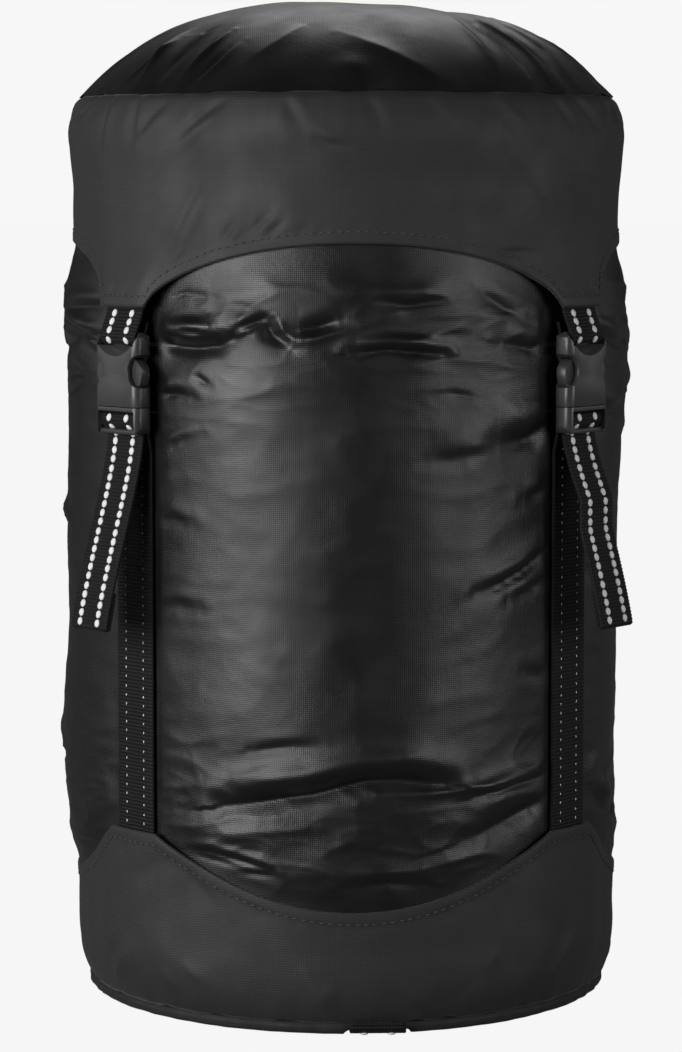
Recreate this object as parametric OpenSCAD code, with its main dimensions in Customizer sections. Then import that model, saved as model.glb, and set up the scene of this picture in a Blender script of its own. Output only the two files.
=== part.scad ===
// Compression sack, standing filled and closed under its strapped lid.
// Origin: centre of the foot on the surface it stands on. +Z is up and the front faces -Y.

/* [Sack] */
// Outside diameter of the body tube
body_d = 202; // [180:1:230]
// Height of the drawn-in top of the sack above the floor
body_h = 304; // [290:1:360]
// Thickness of a sewn fabric wall
fabric_t = 1.6; // [1.2:0.1:2]
// How far the body draws in at its foot
foot_in = 5.6; // [4:0.1:8]
// Height over which the foot rounds out to the full diameter
foot_h = 22; // [16:1:30]
// Radius of the shoulder between the body and its drawn-in top
shoulder_r = 22; // [16:1:26]

/* [Base] */
// Height of the round seam the sack stands on
seam_h = 5; // [4:0.1:7]
// Width of the round seam
seam_w = 8.5; // [7:0.1:11]
// Height of the base cap at the low point of each scallop
cap_low = 45; // [38:1:54]
// Height of the base cap at the top of each tab
cap_tab = 69; // [62:1:80]
// Distance of the base handle to the right of the centre
handle_x = 8; // [-20:1:20]

/* [Lid] */
// Free height between the drawn-in top of the sack and the lid's seam
lid_room = 30; // [30:1:44]
// Rise of the crown above the lid's seam
crown_h = 34; // [30:1:44]
// Fullness of the crown, from a rounded bowl to a flat-topped pillow
crown_full = 3.2; // [2:0.1:4]
// Depth of the skirt at the middle of each scallop
skirt_arch = 53; // [46:1:60]
// Depth of the skirt at the tip of each tab
skirt_tab = 76; // [72:1:84]
// How far the skirt draws in towards the lid's seam
skirt_in = 5; // [3:0.1:7]
// Height over which the skirt draws in
skirt_round = 18; // [12:1:26]

/* [Webbing] */
// Width of the webbing
web_w = 20; // [18:0.1:22]
// Thickness of the webbing
web_t = 1.3; // [1.1:0.1:1.5]
// Angle of each strap from the front, or from the back
strap_angle = 50; // [46:1:52]
// Width of each sewn tab
tab_w = 25; // [24:0.5:30]
// Length of the free tail below the buckle
tail_len = 68; // [50:1:90]
// How far the front right tail stands out where it was folded
tail_kink = 3; // [0:0.5:5]
// How far the tip of the tail stands out from the buckle
tail_out = 16; // [8:1:18]

/* [Buckle] */
// Drop of the parting line between the two halves below the lid's tabs
buckle_drop = 35.5; // [32:0.5:44]
// Thickness of the buckle
buckle_t = 8; // [7.6:0.1:9]
// Height of the female half up to its top wall
socket_h = 22; // [21:0.1:25]
// Height of the side bridges the arms latch behind
bridge_h = 7; // [6:0.1:8]
// Depth of the thumb scoop in each side
scoop = 4.8; // [3:0.1:5]
// Rounding of the buckle's outer corners, seen from the front
corner_r = 3.4; // [2:0.1:3.6]
// Diameter of the bar in the female half
bar_d = 3; // [2.6:0.1:3.6]
// Diameter of the middle bar in the ladder lock
mid_bar_d = 2.6; // [2.2:0.1:3]
// Diameter of the end bar in the ladder lock
end_bar_d = 2; // [1.8:0.1:2.6]

/* [Drawcord] */
// Radius of the mouth at the middle of the drawcord hem
mouth_r = 42; // [38:1:46]
// Outside radius of the hem roll
hem_r = 4; // [3.4:0.1:5]
// Diameter of the drawcord
cord_d = 2.6; // [2:0.1:3]
// Diameter of the cord lock
lock_d = 11; // [10.6:0.1:13]
// Length of the cord lock body
lock_len = 20; // [19:0.5:24]
// Travel of the cord lock button
button_travel = 2.6; // [1.5:0.1:2.8]

/* [Hidden] */
$fn = 64;

shiny = "#2a2a2c";
matt = "#3a3a3b";
web = "#1d1d1e";
plastic = "#262627";
steel = "#9a9a9a";

// Clearance between separate bodies, of a strap on the body, between sewn layers, of webbing on a bar,
// and between sliding plastic parts
run_gap = 0.3;
strap_gap = 0.2;
sewn_gap = 0.05;
web_gap = 0.15;
slide_gap = 0.1;
eps = 0.01;
far = 400;

// Radii and heights shared by the soft walls
body_r = body_d / 2;
panel_top = seam_h + fabric_t;
shoulder_z = body_h - shoulder_r;
lid_z = body_h + lid_room;
tab_tip = lid_z - skirt_tab;
strap_back = body_r + strap_gap;
strap_mid = strap_back + web_t / 2;
cap_in = norm([strap_back + web_t, web_w / 2]) + sewn_gap;
cap_gap = cap_in - body_r;
cap_r = cap_in + fabric_t;
loop_back = body_r + strap_gap + run_gap - slide_gap;
loop_mid = loop_back + web_t / 2;
lid_in = norm([loop_back + web_t, web_w / 2]) + sewn_gap;
lid_r = lid_in + fabric_t;
crown_edge = lid_r - skirt_in;
foot_r = body_r - foot_in;
profile_n = 10;
scallop_n = 24;
crown_n = 18;
tab_angle = asin(tab_w / 2 / cap_r);

// Buckle: middle of its thickness, inside gaps and heights above the parting line
buckle_z = tab_tip - buckle_drop;
buckle_mid = strap_back + web_t + run_gap + strap_gap + buckle_t / 2;
slot_w = web_w + 2 * run_gap;
cheek = 1.8;
buckle_w = slot_w + 2 * cheek;
buckle_round = 3;
wall = 1.8;
cavity_t = buckle_t - 2 * wall;
top_wall = 4.2;
cavity_h = socket_h - top_wall;
dish = 3.8;
dish_r = 18;
bar_z = socket_h + run_gap + web_t + web_gap + bar_d / 2;
female_h = bar_z + bar_d / 2 + 0.4;
scoop_top = cavity_h + 1.2;
scoop_mid = (bridge_h + scoop_top) / 2;
scoop_half = (scoop_top - bridge_h) / 2;
scoop_r = (pow(scoop_half, 2) + pow(scoop, 2)) / (2 * scoop);
scoop_x = buckle_w / 2 - scoop + scoop_r;
latch_z = scoop_mid - sqrt(pow(scoop_r, 2) - pow(scoop_x - slot_w / 2, 2));
arm_top = cavity_h - run_gap;
flange = 1.4;
slot_a = web_t + 0.5;
slot_b = web_t + 0.6;
mid_bar_z = -flange - slot_a - mid_bar_d / 2;
end_bar_z = mid_bar_z - mid_bar_d / 2 - slot_b - end_bar_d / 2;
end_bar_out = 1.4;
male_h = -end_bar_z + end_bar_d / 2;
arm_t = cavity_t - 2 * run_gap;
arm_x = slot_w / 2 - 2.1;
arm_root = 1.3;
arm_root_z = 1.1;
tongue_w = 4;
tongue_h = 14.5;
wrap_r = mid_bar_d / 2 + web_gap + web_t / 2;
loop_r = bar_d / 2 + web_gap + web_t / 2;
bar_seat = 0.3;
strap_sewn = 12;
loop_sewn = 18;
loop_short = 3.2;
wrap_in = 165;
wrap_n = 12;
tail_n = 14;

// Drawcord: hem, lock and knot
hem_z = body_h - fabric_t / 2;
hem_bore = cord_d / 2 + 0.5;
hem_open = 22;
hem_angle = asin(hem_open / 2 / mouth_r);
lock_out = 26;
lock_y = mouth_r + lock_out;
lock_z = body_h + lock_d / 2;
lock_r = lock_d / 2;
lock_bore = lock_r - 1.45;
lock_floor = 1.2;
lock_left = -lock_len * 0.6;
cord_x = cord_d / 2 + 0.1;
cord_hole = cord_d + 0.4;
hole_near = cord_x + cord_d / 2 + 0.1;
hole_far = hole_near + button_travel;
button_left = -hole_near - 1.7;
button_out = 3.5;
spring_wire = 0.7;
spring_turns = 4;
spring_sides = 6;
spring_rings = 8;
knot_len = 7;
knot_r = 3.6;
cord_sides = 8;
cord_arc_n = 34;
// Route of one cord end from the hem to the knot: [right of centre, out from the hem, above the collar]
cord_route = [[8.4, 0.2, 0], [5.8, 1.9, 1.5], [3.6, 4.4, 2.5], [2.2, 7.6, 2.6], [1.6, 11, 2.8],
  [1.4, 15, 4.2], [1.4, 18.5, 5.9], [1.4, 21, 6.3], [1.4, 31, 6.3], [1.4, 34, 5.6], [1.4, 36.5, 4.4],
  [1.4, 38.5, 4], [1.4, 41, 4]];

// Profile of the filled body, and lines, arcs and ribbons built from points
function body_out(z) = body_r - foot_in * pow(max(0, (panel_top + foot_h - z) / foot_h), 2);
function skirt_out(z) = lid_r - skirt_in * pow(max(0, (z - lid_z + skirt_round) / skirt_round), 2);
function crown_line(edge, h) = [for (t = steps(1, 0, crown_n)) [edge * t, lid_z + h * (1 - pow(t, crown_full))]];
function steps(a, b, n) = [for (i = [0:n]) a + (b - a) * i / n];
function arc(c, r, a0, a1, n) = [for (a = steps(a0, a1, n)) c + r * [cos(a), sin(a)]];
function reversed(p) = [for (i = [len(p) - 1:-1:0]) p[i]];
function unit(v) = v / norm(v);
function run_at(p, i) = unit(p[min(i + 1, len(p) - 1)] - p[max(i - 1, 0)]);
function beside(p, d) = [for (i = [0:len(p) - 1]) p[i] + d * [-run_at(p, i)[1], run_at(p, i)[0]]];
function bezier(a, b, c, d, n) = [for (t = steps(0, 1, n))
  pow(1 - t, 3) * a + 3 * t * pow(1 - t, 2) * b + 3 * t * t * (1 - t) * c + pow(t, 3) * d];
// Angle on a round bar at which a line from a point outside leaves it, on the given side
function touch(c, r, p, side) = atan2(p[1] - c[1], p[0] - c[0]) + side * acos(r / norm(p - c));

// Turns a flat drawing of [distance out from the axis, height] into an upright slab at the front
module upright(w) {
  rotate([90, 0, -90])
    linear_extrude(w, center = true)
      children();
}

module ribbon(path, w, t) {
  upright(w)
    polygon(concat(beside(path, t / 2), reversed(beside(path, -t / 2))));
}

// A round cord along points in space, closed at both ends
module sweep(path, r, sides) {
  n = len(path);
  rings = [for (i = [0:n - 1])
    let (d = run_at(path, i), a = unit(cross(d, abs(d[2]) > 0.9 ? [1, 0, 0] : [0, 0, 1])), b = cross(a, d))
    for (k = [0:sides - 1]) path[i] + r * (cos(360 * k / sides) * a + sin(360 * k / sides) * b)];
  walls = [for (i = [0:n - 2]) for (k = [0:sides - 1])
    let (m = (k + 1) % sides)
    [i * sides + k, i * sides + m, (i + 1) * sides + m, (i + 1) * sides + k]];
  ends = [[for (k = [sides - 1:-1:0]) k], [for (k = [0:sides - 1]) (n - 1) * sides + k]];
  polyhedron(rings, concat(walls, ends));
}

module at_strap(a) {
  rotate([0, 0, a])
    children();
}

module at_buckle(a) {
  at_strap(a)
    translate([0, -buckle_mid, buckle_z])
      children();
}

// Base: round seam with two notches for the handle, panel, cap and handle
module base_seam() {
  edge = seam_h / 2;
  color(web)
    difference() {
      rotate_extrude()
        polygon(concat([[cap_out_r() - seam_w, seam_h], [cap_out_r() - seam_w, 0]],
          arc([cap_out_r() - edge, edge], edge, -90, 0, 6), [[cap_out_r(), seam_h]]));
      translate([handle_x - web_w / 2 - run_gap, -far / 2, -eps])
        cube([web_w + 2 * run_gap, far, web_t + 2 * run_gap + eps]);
    }
}

function cap_out_r() = body_out(seam_h) + cap_gap + fabric_t + 0.2;

module base_panel() {
  color(shiny)
    translate([0, 0, seam_h])
      cylinder(r = foot_r, h = fabric_t);
}

module base_cap() {
  zs = steps(seam_h, cap_tab, profile_n);
  front_w = cap_r * sin(strap_angle - tab_angle);
  side_w = cap_r * sin(90 - strap_angle - tab_angle);
  color(matt)
    difference() {
      rotate_extrude()
        polygon(concat([for (z = zs) [body_out(z) + cap_gap, z]],
          [for (z = reversed(zs)) [body_out(z) + cap_gap + fabric_t, z]]));
      cap_scallop(front_w);
      rotate([0, 0, 90])
        cap_scallop(side_w);
    }
}

module cap_scallop(w) {
  dip = cap_tab - cap_low;
  r = (w * w + dip * dip) / (2 * dip);
  a = asin(w / r);
  rotate([90, 0, 0])
    linear_extrude(far, center = true)
      polygon(concat(arc([0, cap_low + r], r, -90 - a, -90 + a, scallop_n),
        [[w, cap_tab + dip], [-w, cap_tab + dip]]));
}

module base_handle() {
  bend = 2;
  low = run_gap + web_t / 2;
  out = sqrt(pow(cap_out_r(), 2) - pow(max(abs(handle_x) - web_w / 2, 0), 2)) + 0.1 + web_t / 2;
  half = concat([[0, low]], arc([out - bend, low + bend], bend, -90, 0, 6), [[out, seam_h]]);
  path = concat(reversed([for (p = half) [-p[0], p[1]]]), [for (i = [1:len(half) - 1]) half[i]]);
  color(web)
    translate([handle_x, 0, 0])
      ribbon(path, web_w, web_t);
}

// Body tube and the parts that close its mouth
module body_panel() {
  zs = concat(steps(panel_top, panel_top + foot_h, profile_n), [shoulder_z]);
  color(shiny)
    rotate_extrude()
      polygon(concat([for (z = zs) [body_out(z), z]], [for (z = reversed(zs)) [body_out(z) - fabric_t, z]]));
}

module mouth_collar() {
  c = [body_r - shoulder_r, shoulder_z];
  inner = mouth_r + hem_r;
  color(shiny)
    rotate_extrude()
      polygon(concat(arc(c, shoulder_r, 0, 90, profile_n), [[inner, body_h], [inner, body_h - fabric_t]],
        arc(c, shoulder_r - fabric_t, 90, 0, profile_n)));
}

module mouth_hem() {
  color(web)
    translate([0, 0, hem_z])
      rotate([0, 0, hem_angle - 90])
        rotate_extrude(angle = 360 - 2 * hem_angle)
          translate([mouth_r, 0])
            difference() {
              circle(hem_r);
              circle(hem_bore);
            }
}

module drawcord() {
  right = [for (p = cord_route) [p[0], -mouth_r - p[1], hem_z + p[2]]];
  around = [for (a = steps(hem_angle - 90, 270 - hem_angle, cord_arc_n))
    [mouth_r * cos(a), mouth_r * sin(a), hem_z]];
  left = [for (p = right) [-p[0], p[1], p[2]]];
  color(web)
    sweep(concat(reversed(right), around, left), cord_d / 2, cord_sides);
}

module drawcord_knot() {
  last = cord_route[len(cord_route) - 1];
  color(web)
    translate([0, -mouth_r - last[1] - sewn_gap, hem_z + last[2]])
      rotate([90, 0, 0])
        intersection() {
          cylinder(r = knot_r, h = knot_len);
          translate([0, 0, knot_len / 2])
            sphere(norm([knot_len / 2, knot_r]) - 0.8);
        }
}

// Cord lock: its axis lies along X and the two cord ends pass through it along Y
module lock_place() {
  translate([0, -lock_y, lock_z])
    children();
}

module cross_hole(x0, x1) {
  translate([(x0 + x1) / 2, 0, 0])
    cube([x1 - x0, far / 10, cord_hole], center = true);
}

module cord_lock_body() {
  color(plastic)
    lock_place()
      difference() {
        translate([lock_left, 0, 0])
          rotate([0, 90, 0])
            cylinder(r = lock_r, h = lock_len);
        translate([lock_left + lock_floor, 0, 0])
          rotate([0, 90, 0])
            cylinder(r = lock_bore, h = lock_len);
        cross_hole(-hole_far, hole_near);
      }
}

module cord_lock_button() {
  color(plastic)
    lock_place()
      difference() {
        translate([button_left, 0, 0])
          rotate([0, 90, 0])
            cylinder(r = lock_bore - slide_gap, h = lock_left + lock_len + button_out - button_left);
        cross_hole(-hole_near, hole_far);
      }
}

module cord_lock_spring() {
  r = lock_bore - 1.2;
  x0 = lock_left + lock_floor + spring_wire / 2 + sewn_gap;
  x1 = button_left - spring_wire / 2 - sewn_gap;
  n = spring_turns * spring_rings;
  color(steel)
    lock_place()
      sweep([for (i = [0:n]) [x0 + (x1 - x0) * i / n, r * cos(360 * i / spring_rings),
        r * sin(360 * i / spring_rings)]], spring_wire / 2, spring_sides);
}

// Webbing, drawn as [out from the buckle's middle, height above its parting line]
mid_bar = [0, mid_bar_z];
wrap_start = mid_bar + wrap_r * [cos(wrap_in), sin(wrap_in)];
lean = [sin(wrap_in), -cos(wrap_in)];
strap_line = strap_mid - buckle_mid;
lean_end = wrap_start - lean * ((wrap_start[0] - strap_line) / lean[0]);
behind_end = [end_bar_out - sqrt(2) * (end_bar_d / 2 + web_gap + web_t / 2), end_bar_z];
wrap_out = touch(mid_bar, wrap_r, behind_end, 1);
tail_tip = [tail_out, -male_h - tail_len];
tail_fall = bezier(behind_end, behind_end + [0, -tail_len * 0.2], tail_tip + [-tail_out * 0.3, tail_len * 0.35],
  tail_tip, tail_n);
// Set of the webbing where it was folded: how far it stands out, on the front right tail, at its middle
kink_at = 0.42;
kink_end = 0.56;
function kink(t) = t < kink_at ? pow(t / kink_at, 1.5) : max(0, (kink_end - t) / (kink_end - kink_at));
function fall(k) = [for (i = [0:tail_n]) tail_fall[i] + [k * kink(i / tail_n), 0]];
end_n = 2;

module strap(a) {
  low = cap_tab - strap_sewn - buckle_z;
  color(web)
    at_buckle(a)
      ribbon([[strap_line, low], [strap_line, lean_end[1] - 3], lean_end + [0.05, 0.4],
        wrap_start - run_gap * lean], web_w, web_t);
}

module tail(a, k = 0) {
  around = arc(mid_bar, wrap_r, wrap_in, wrap_out, wrap_n);
  color(web)
    at_buckle(a)
      ribbon(concat(around, [for (i = [0:tail_n - end_n]) fall(k)[i]]), web_w, web_t);
}

// Last part of the tail, folded back on itself and sewn
module tail_end(a) {
  last = [for (i = [tail_n - end_n:tail_n]) tail_fall[i]];
  down = run_at(last, 0);
  rest = [for (i = [1:end_n]) last[i]];
  ply = concat([last[0] + (run_gap + web_t) * down], rest);
  color(web)
    at_buckle(a) {
      ribbon(concat([last[0] + run_gap * down], rest), web_w, web_t);
      ribbon([for (p = ply) p - [web_t, 0]], web_w, web_t);
    }
}

module loop(a) {
  bar = [0, bar_z];
  top = [loop_mid - buckle_mid, tab_tip + loop_sewn - buckle_z];
  bend = [loop_mid - buckle_mid, tab_tip - buckle_z - web_t];
  on = touch(bar, loop_r, bend, -1);
  off = -165;
  back_end = bar + loop_r * [cos(off), sin(off)] + [-0.25, 0.97] * (bend[1] - bar_z - loop_short);
  color(web)
    at_buckle(a)
      ribbon(concat([top, bend + [0, web_t]], arc(bar, loop_r, on, off, wrap_n), [back_end]), web_w, web_t);
}

// Buckle, drawn at the front with its width along X, its thickness along Y and its parting line at 0
module block(z0, z1) {
  flat = buckle_t / 2 - buckle_round;
  translate([0, 0, z0])
    linear_extrude(z1 - z0)
      union() {
        square([buckle_w - 2 * buckle_round, buckle_t], center = true);
        square([buckle_w, 2 * flat], center = true);
        for (x = [-1, 1], y = [-1, 1])
          translate([x * (buckle_w / 2 - buckle_round), y * flat])
            circle(buckle_round);
      }
}

// Front outline of the whole buckle, with rounded outer corners
module buckle_front() {
  rotate([90, 0, 0])
    linear_extrude(far, center = true)
      union() {
        translate([-buckle_w / 2, corner_r - male_h])
          square([buckle_w, female_h + male_h - 2 * corner_r]);
        translate([corner_r - buckle_w / 2, -male_h])
          square([buckle_w - 2 * corner_r, female_h + male_h]);
        for (x = [-1, 1], z = [corner_r - male_h, female_h - corner_r])
          translate([x * (buckle_w / 2 - corner_r), z])
            circle(corner_r);
      }
}

module female(a) {
  color(plastic)
    at_buckle(a) {
      difference() {
        intersection() {
          block(run_gap, female_h);
          buckle_front();
        }
        translate([-slot_w / 2, -cavity_t / 2, -eps])
          cube([slot_w, cavity_t, cavity_h]);
        for (x = [-1, 1])
          translate([x * scoop_x, 0, scoop_mid])
            rotate([90, 0, 0])
              cylinder(r = scoop_r, h = far, center = true);
        translate([-slot_w / 2, -far / 2, socket_h])
          cube([slot_w, far, far]);
        for (y = [0, 1])
          mirror([0, y, 0])
            translate([0, -buckle_t / 2, socket_h - dish])
              rotate([45, 0, 0])
                translate([0, 0, dish_r])
                  rotate([90, 0, 0])
                    cylinder(r = dish_r, h = far, center = true);
      }
      translate([0, 0, bar_z])
        rotate([0, 90, 0])
          cylinder(d = bar_d, h = slot_w + 2 * bar_seat, center = true);
    }
}

module male(a) {
  color(plastic)
    at_buckle(a)
      difference() {
        union() {
          difference() {
            intersection() {
              block(-male_h, 0);
              buckle_front();
            }
            translate([-slot_w / 2, -far / 2, -far])
              cube([slot_w, far, far - flange]);
          }
          translate([0, 0, mid_bar_z])
            rotate([0, 90, 0])
              cylinder(d = mid_bar_d, h = slot_w + 2 * bar_seat, center = true);
          translate([0, -end_bar_out, end_bar_z])
            rotate([0, 90, 0])
              cylinder(d = end_bar_d, h = slot_w + 2 * bar_seat, center = true);
          translate([-tongue_w / 2, -arm_t / 2, -flange])
            cube([tongue_w, arm_t, tongue_h + flange]);
        }
        for (x = [-1, 1])
          translate([x * arm_x, 0, arm_root_z])
            rotate([90, 0, 0])
              cylinder(r = arm_root + run_gap, h = cavity_t, center = true);
      }
}

// Latch arm on the right side: round root, stem, shoulder behind the bridge, finger pad and tip
module arm(a, side) {
  reach = buckle_w / 2 - 0.1;
  out = slot_w / 2 - run_gap;
  hook = latch_z + run_gap;
  pad = (hook + arm_top) / 2;
  color(plastic)
    at_buckle(a)
      mirror([side < 0 ? 1 : 0, 0, 0])
        rotate([90, 0, 0])
          linear_extrude(arm_t, center = true)
            union() {
              translate([arm_x, arm_root_z])
                circle(arm_root);
              polygon([[arm_x - 1.3, arm_root_z], [arm_x + 1.3, arm_root_z], [out, hook - 1.4], [out, hook],
                [reach - 0.4, hook], [reach + 0.1, hook + 1.2], [reach + 0.8, pad - 1],
                [reach + 0.5, pad + 1.4], [reach - 1, pad + 3.2], [arm_x + 0.6, arm_top - 0.2],
                [arm_x - 0.6, arm_top - 0.1], [arm_x - 1.4, arm_top - 1], [arm_x - 1.2, pad],
                [arm_x - 1.1, hook - 2]]);
            }
}

// Lid: skirt with four tabs and the crown sewn on its seam
module lid_skirt() {
  zs = concat([tab_tip], steps(lid_z - skirt_round, lid_z, profile_n));
  front_w = lid_r * sin(strap_angle - tab_angle);
  side_w = lid_r * sin(90 - strap_angle - tab_angle);
  color(matt)
    difference() {
      rotate_extrude()
        polygon(concat([for (z = zs) [skirt_out(z), z]], [for (z = reversed(zs)) [skirt_out(z) - fabric_t, z]]));
      skirt_scallop(front_w);
      rotate([0, 0, 90])
        skirt_scallop(side_w);
    }
}

module skirt_scallop(w) {
  rise = skirt_tab - skirt_arch;
  rotate([90, 0, 0])
    linear_extrude(far, center = true)
      polygon(concat([for (t = steps(0, 180, scallop_n)) [w * cos(t), tab_tip + rise * sin(t)]],
        [[-w, tab_tip - rise], [w, tab_tip - rise]]));
}

module lid_crown() {
  color(shiny)
    rotate_extrude()
      polygon(concat(crown_line(crown_edge, crown_h),
        reversed(crown_line(crown_edge - fabric_t, crown_h - fabric_t))));
}

FL = -strap_angle;
FR = strap_angle;
BL = strap_angle - 180;
BR = 180 - strap_angle;

base_seam();
base_panel();
base_cap();
base_handle();
body_panel();
mouth_collar();
mouth_hem();
drawcord();
drawcord_knot();
cord_lock_body();
cord_lock_spring();
cord_lock_button();
strap(FL);  // strap_front_left
strap(FR);  // strap_front_right
strap(BL);  // strap_back_left
strap(BR);  // strap_back_right
tail(FL);  // tail_front_left
tail(FR, tail_kink);  // tail_front_right
tail(BL);  // tail_back_left
tail(BR);  // tail_back_right
tail_end(FL);  // tail_end_front_left
tail_end(FR);  // tail_end_front_right
tail_end(BL);  // tail_end_back_left
tail_end(BR);  // tail_end_back_right
male(FL);  // male_front_left
male(FR);  // male_front_right
male(BL);  // male_back_left
male(BR);  // male_back_right
arm(FL, -1);  // arm_l_front_left
arm(FL, 1);  // arm_r_front_left
arm(FR, -1);  // arm_l_front_right
arm(FR, 1);  // arm_r_front_right
arm(BL, -1);  // arm_l_back_left
arm(BL, 1);  // arm_r_back_left
arm(BR, -1);  // arm_l_back_right
arm(BR, 1);  // arm_r_back_right
loop(FL);  // loop_front_left
loop(FR);  // loop_front_right
loop(BL);  // loop_back_left
loop(BR);  // loop_back_right
female(FL);  // female_front_left
female(FR);  // female_front_right
female(BL);  // female_back_left
female(BR);  // female_back_right
lid_skirt();
lid_crown();
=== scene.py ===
import math
import random

import bmesh
import bpy
from mathutils import Matrix, Vector, noise


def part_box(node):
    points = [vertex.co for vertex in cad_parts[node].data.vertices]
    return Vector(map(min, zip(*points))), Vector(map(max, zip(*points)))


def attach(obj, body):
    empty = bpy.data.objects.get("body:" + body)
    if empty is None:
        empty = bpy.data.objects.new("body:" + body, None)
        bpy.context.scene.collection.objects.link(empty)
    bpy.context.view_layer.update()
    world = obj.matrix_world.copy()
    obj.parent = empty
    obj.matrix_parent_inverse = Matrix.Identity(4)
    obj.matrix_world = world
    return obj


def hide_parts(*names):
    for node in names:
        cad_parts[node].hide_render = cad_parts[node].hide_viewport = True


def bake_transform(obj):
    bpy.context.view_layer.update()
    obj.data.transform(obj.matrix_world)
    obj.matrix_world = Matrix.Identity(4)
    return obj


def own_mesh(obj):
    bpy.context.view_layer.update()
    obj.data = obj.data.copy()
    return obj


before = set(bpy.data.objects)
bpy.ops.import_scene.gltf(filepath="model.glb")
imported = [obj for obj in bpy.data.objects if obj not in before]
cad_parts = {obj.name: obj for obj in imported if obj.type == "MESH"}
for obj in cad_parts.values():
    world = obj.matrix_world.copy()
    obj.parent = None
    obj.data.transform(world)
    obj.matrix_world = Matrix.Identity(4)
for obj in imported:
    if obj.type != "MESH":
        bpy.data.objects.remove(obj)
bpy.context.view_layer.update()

# Camera, lights and floor. The sack stands on a plain pale floor and is seen from the front, a little from
# above. A large soft light stands on its left, a weaker one on its right, small ones beside and behind it.
MM = 0.001
scene = bpy.context.scene
scene.view_settings.view_transform = "Standard"

camera = bpy.data.objects.new("camera", bpy.data.cameras.new("camera"))
scene.collection.objects.link(camera)
CAMERA_TURN = math.radians(-1.9)
CAMERA_TILT = math.radians(90 - 5.55)
CAMERA_FAR = 1.299
CAMERA_LEFT = 0.0019
CAMERA_HIGH = 0.299
CAMERA_LENS = 117.7
camera.location = (CAMERA_FAR * math.sin(CAMERA_TURN) - CAMERA_LEFT, -CAMERA_FAR * math.cos(CAMERA_TURN),
                   CAMERA_HIGH)
camera.rotation_euler = (CAMERA_TILT, 0, CAMERA_TURN)
camera.data.lens = CAMERA_LENS
scene.camera = camera


def soft_light(name, place, aim, width, height, watts):
    """A rectangular soft box that faces the point aim."""
    lamp = bpy.data.lights.new(name, "AREA")
    lamp.shape = "RECTANGLE"
    lamp.size = width
    lamp.size_y = height
    lamp.energy = watts
    soft_box = bpy.data.objects.new(name, lamp)
    scene.collection.objects.link(soft_box)
    soft_box.location = place
    soft_box.rotation_euler = (Vector(aim) - Vector(place)).to_track_quat("-Z", "Y").to_euler()


soft_light("light_left", (-1.2, -1.0, 0.46), (0, 0, 0.26), 0.95, 1.0, 24)
soft_light("light_right", (1.25, -0.95, 0.46), (0, 0, 0.26), 0.7, 1.0, 8.2)
soft_light("light_far_left", (-1.4, 0.3, 0.5), (0, 0, 0.24), 0.6, 0.8, 1.6)
soft_light("light_far_right", (1.4, 0.3, 0.5), (0, 0, 0.24), 0.6, 0.8, 1.2)
soft_light("light_back", (0.1, 1.0, 1.25), (0, 0, 0.34), 0.7, 0.6, 3.2)


def linear(code):
    """An sRGB hex colour as the linear colour that a shader socket takes."""
    parts = [int(code[i:i + 2], 16) / 255 for i in (1, 3, 5)]
    return [p / 12.92 if p <= 0.04045 else ((p + 0.055) / 1.055) ** 2.4 for p in parts] + [1]


def node(tree, kind, inputs=None, **settings):
    """Adds one shader node: settings are its own options, and inputs gives each socket a value or a link."""
    made = tree.nodes.new("ShaderNode" + kind)
    for option, value in settings.items():
        setattr(made, option, value)
    for socket, value in (inputs or {}).items():
        if isinstance(value, bpy.types.NodeSocket):
            tree.links.new(value, made.inputs[socket])
        else:
            made.inputs[socket].default_value = value
    return made


def blank_material(name):
    """A new material with nothing in its node tree."""
    material = bpy.data.materials.new(name)
    material.use_nodes = True
    material.node_tree.nodes.clear()
    return material


# Matt paint: an even pale grey that reads as white to the eye and still takes the sack's soft shadow.
GLOSSY_SHARE = 0.08
GLOW_SHARE = 0.92
floor_paint = blank_material("matt_white_paint")
tree = floor_paint.node_tree
ray = node(tree, "LightPath")
glossy = node(tree, "Math", {0: ray.outputs["Is Glossy Ray"], 1: GLOSSY_SHARE}, operation="MULTIPLY")
seen = node(tree, "Math", {0: ray.outputs["Is Camera Ray"], 1: glossy.outputs[0]}, operation="MAXIMUM")
seen = node(tree, "Math", {0: seen.outputs[0], 1: ray.outputs["Is Transmission Ray"]}, operation="MAXIMUM")
share = node(tree, "Math", {0: seen.outputs[0], 1: GLOW_SHARE}, operation="MULTIPLY")
matt = node(tree, "BsdfDiffuse", {"Color": linear("#555555")})
glow = node(tree, "Emission", {"Color": linear("#ffffff"), "Strength": 1.0})
paint = node(tree, "MixShader", {0: share.outputs[0], 1: matt.outputs[0], 2: glow.outputs[0]})
node(tree, "OutputMaterial", {"Surface": paint.outputs[0]})

FLOOR_HALF = 30
bm = bmesh.new()
bmesh.ops.create_grid(bm, x_segments=2, y_segments=2, size=FLOOR_HALF)
floor_mesh = bpy.data.meshes.new("floor")
bm.to_mesh(floor_mesh)
bm.free()
floor = bpy.data.objects.new("floor", floor_mesh)
scene.collection.objects.link(floor)
floor_mesh.materials.append(floor_paint)

scene.world = bpy.data.worlds.new("studio")
scene.world.use_nodes = True
tree = scene.world.node_tree
tree.nodes.clear()
ray = node(tree, "LightPath")
room = node(tree, "Background", {"Color": linear("#8c8c8e"), "Strength": 0.08})
backdrop = node(tree, "Background", {"Color": linear("#f7f7f7"), "Strength": 1.0})
sky = node(tree, "MixShader", {0: ray.outputs["Is Camera Ray"], 1: room.outputs[0], 2: backdrop.outputs[0]})
node(tree, "OutputWorld", {"Surface": sky.outputs[0]})


# Base panel: the round cut of coated ripstop that closes the foot, sewn all round into the foot seam.
# It sags a little between the seam and the handle below it.
def millimetres(cad_node):
    """The lowest and highest corner of a CAD node at rest, in millimetres."""
    low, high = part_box(cad_node)
    return low / MM, high / MM


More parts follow.
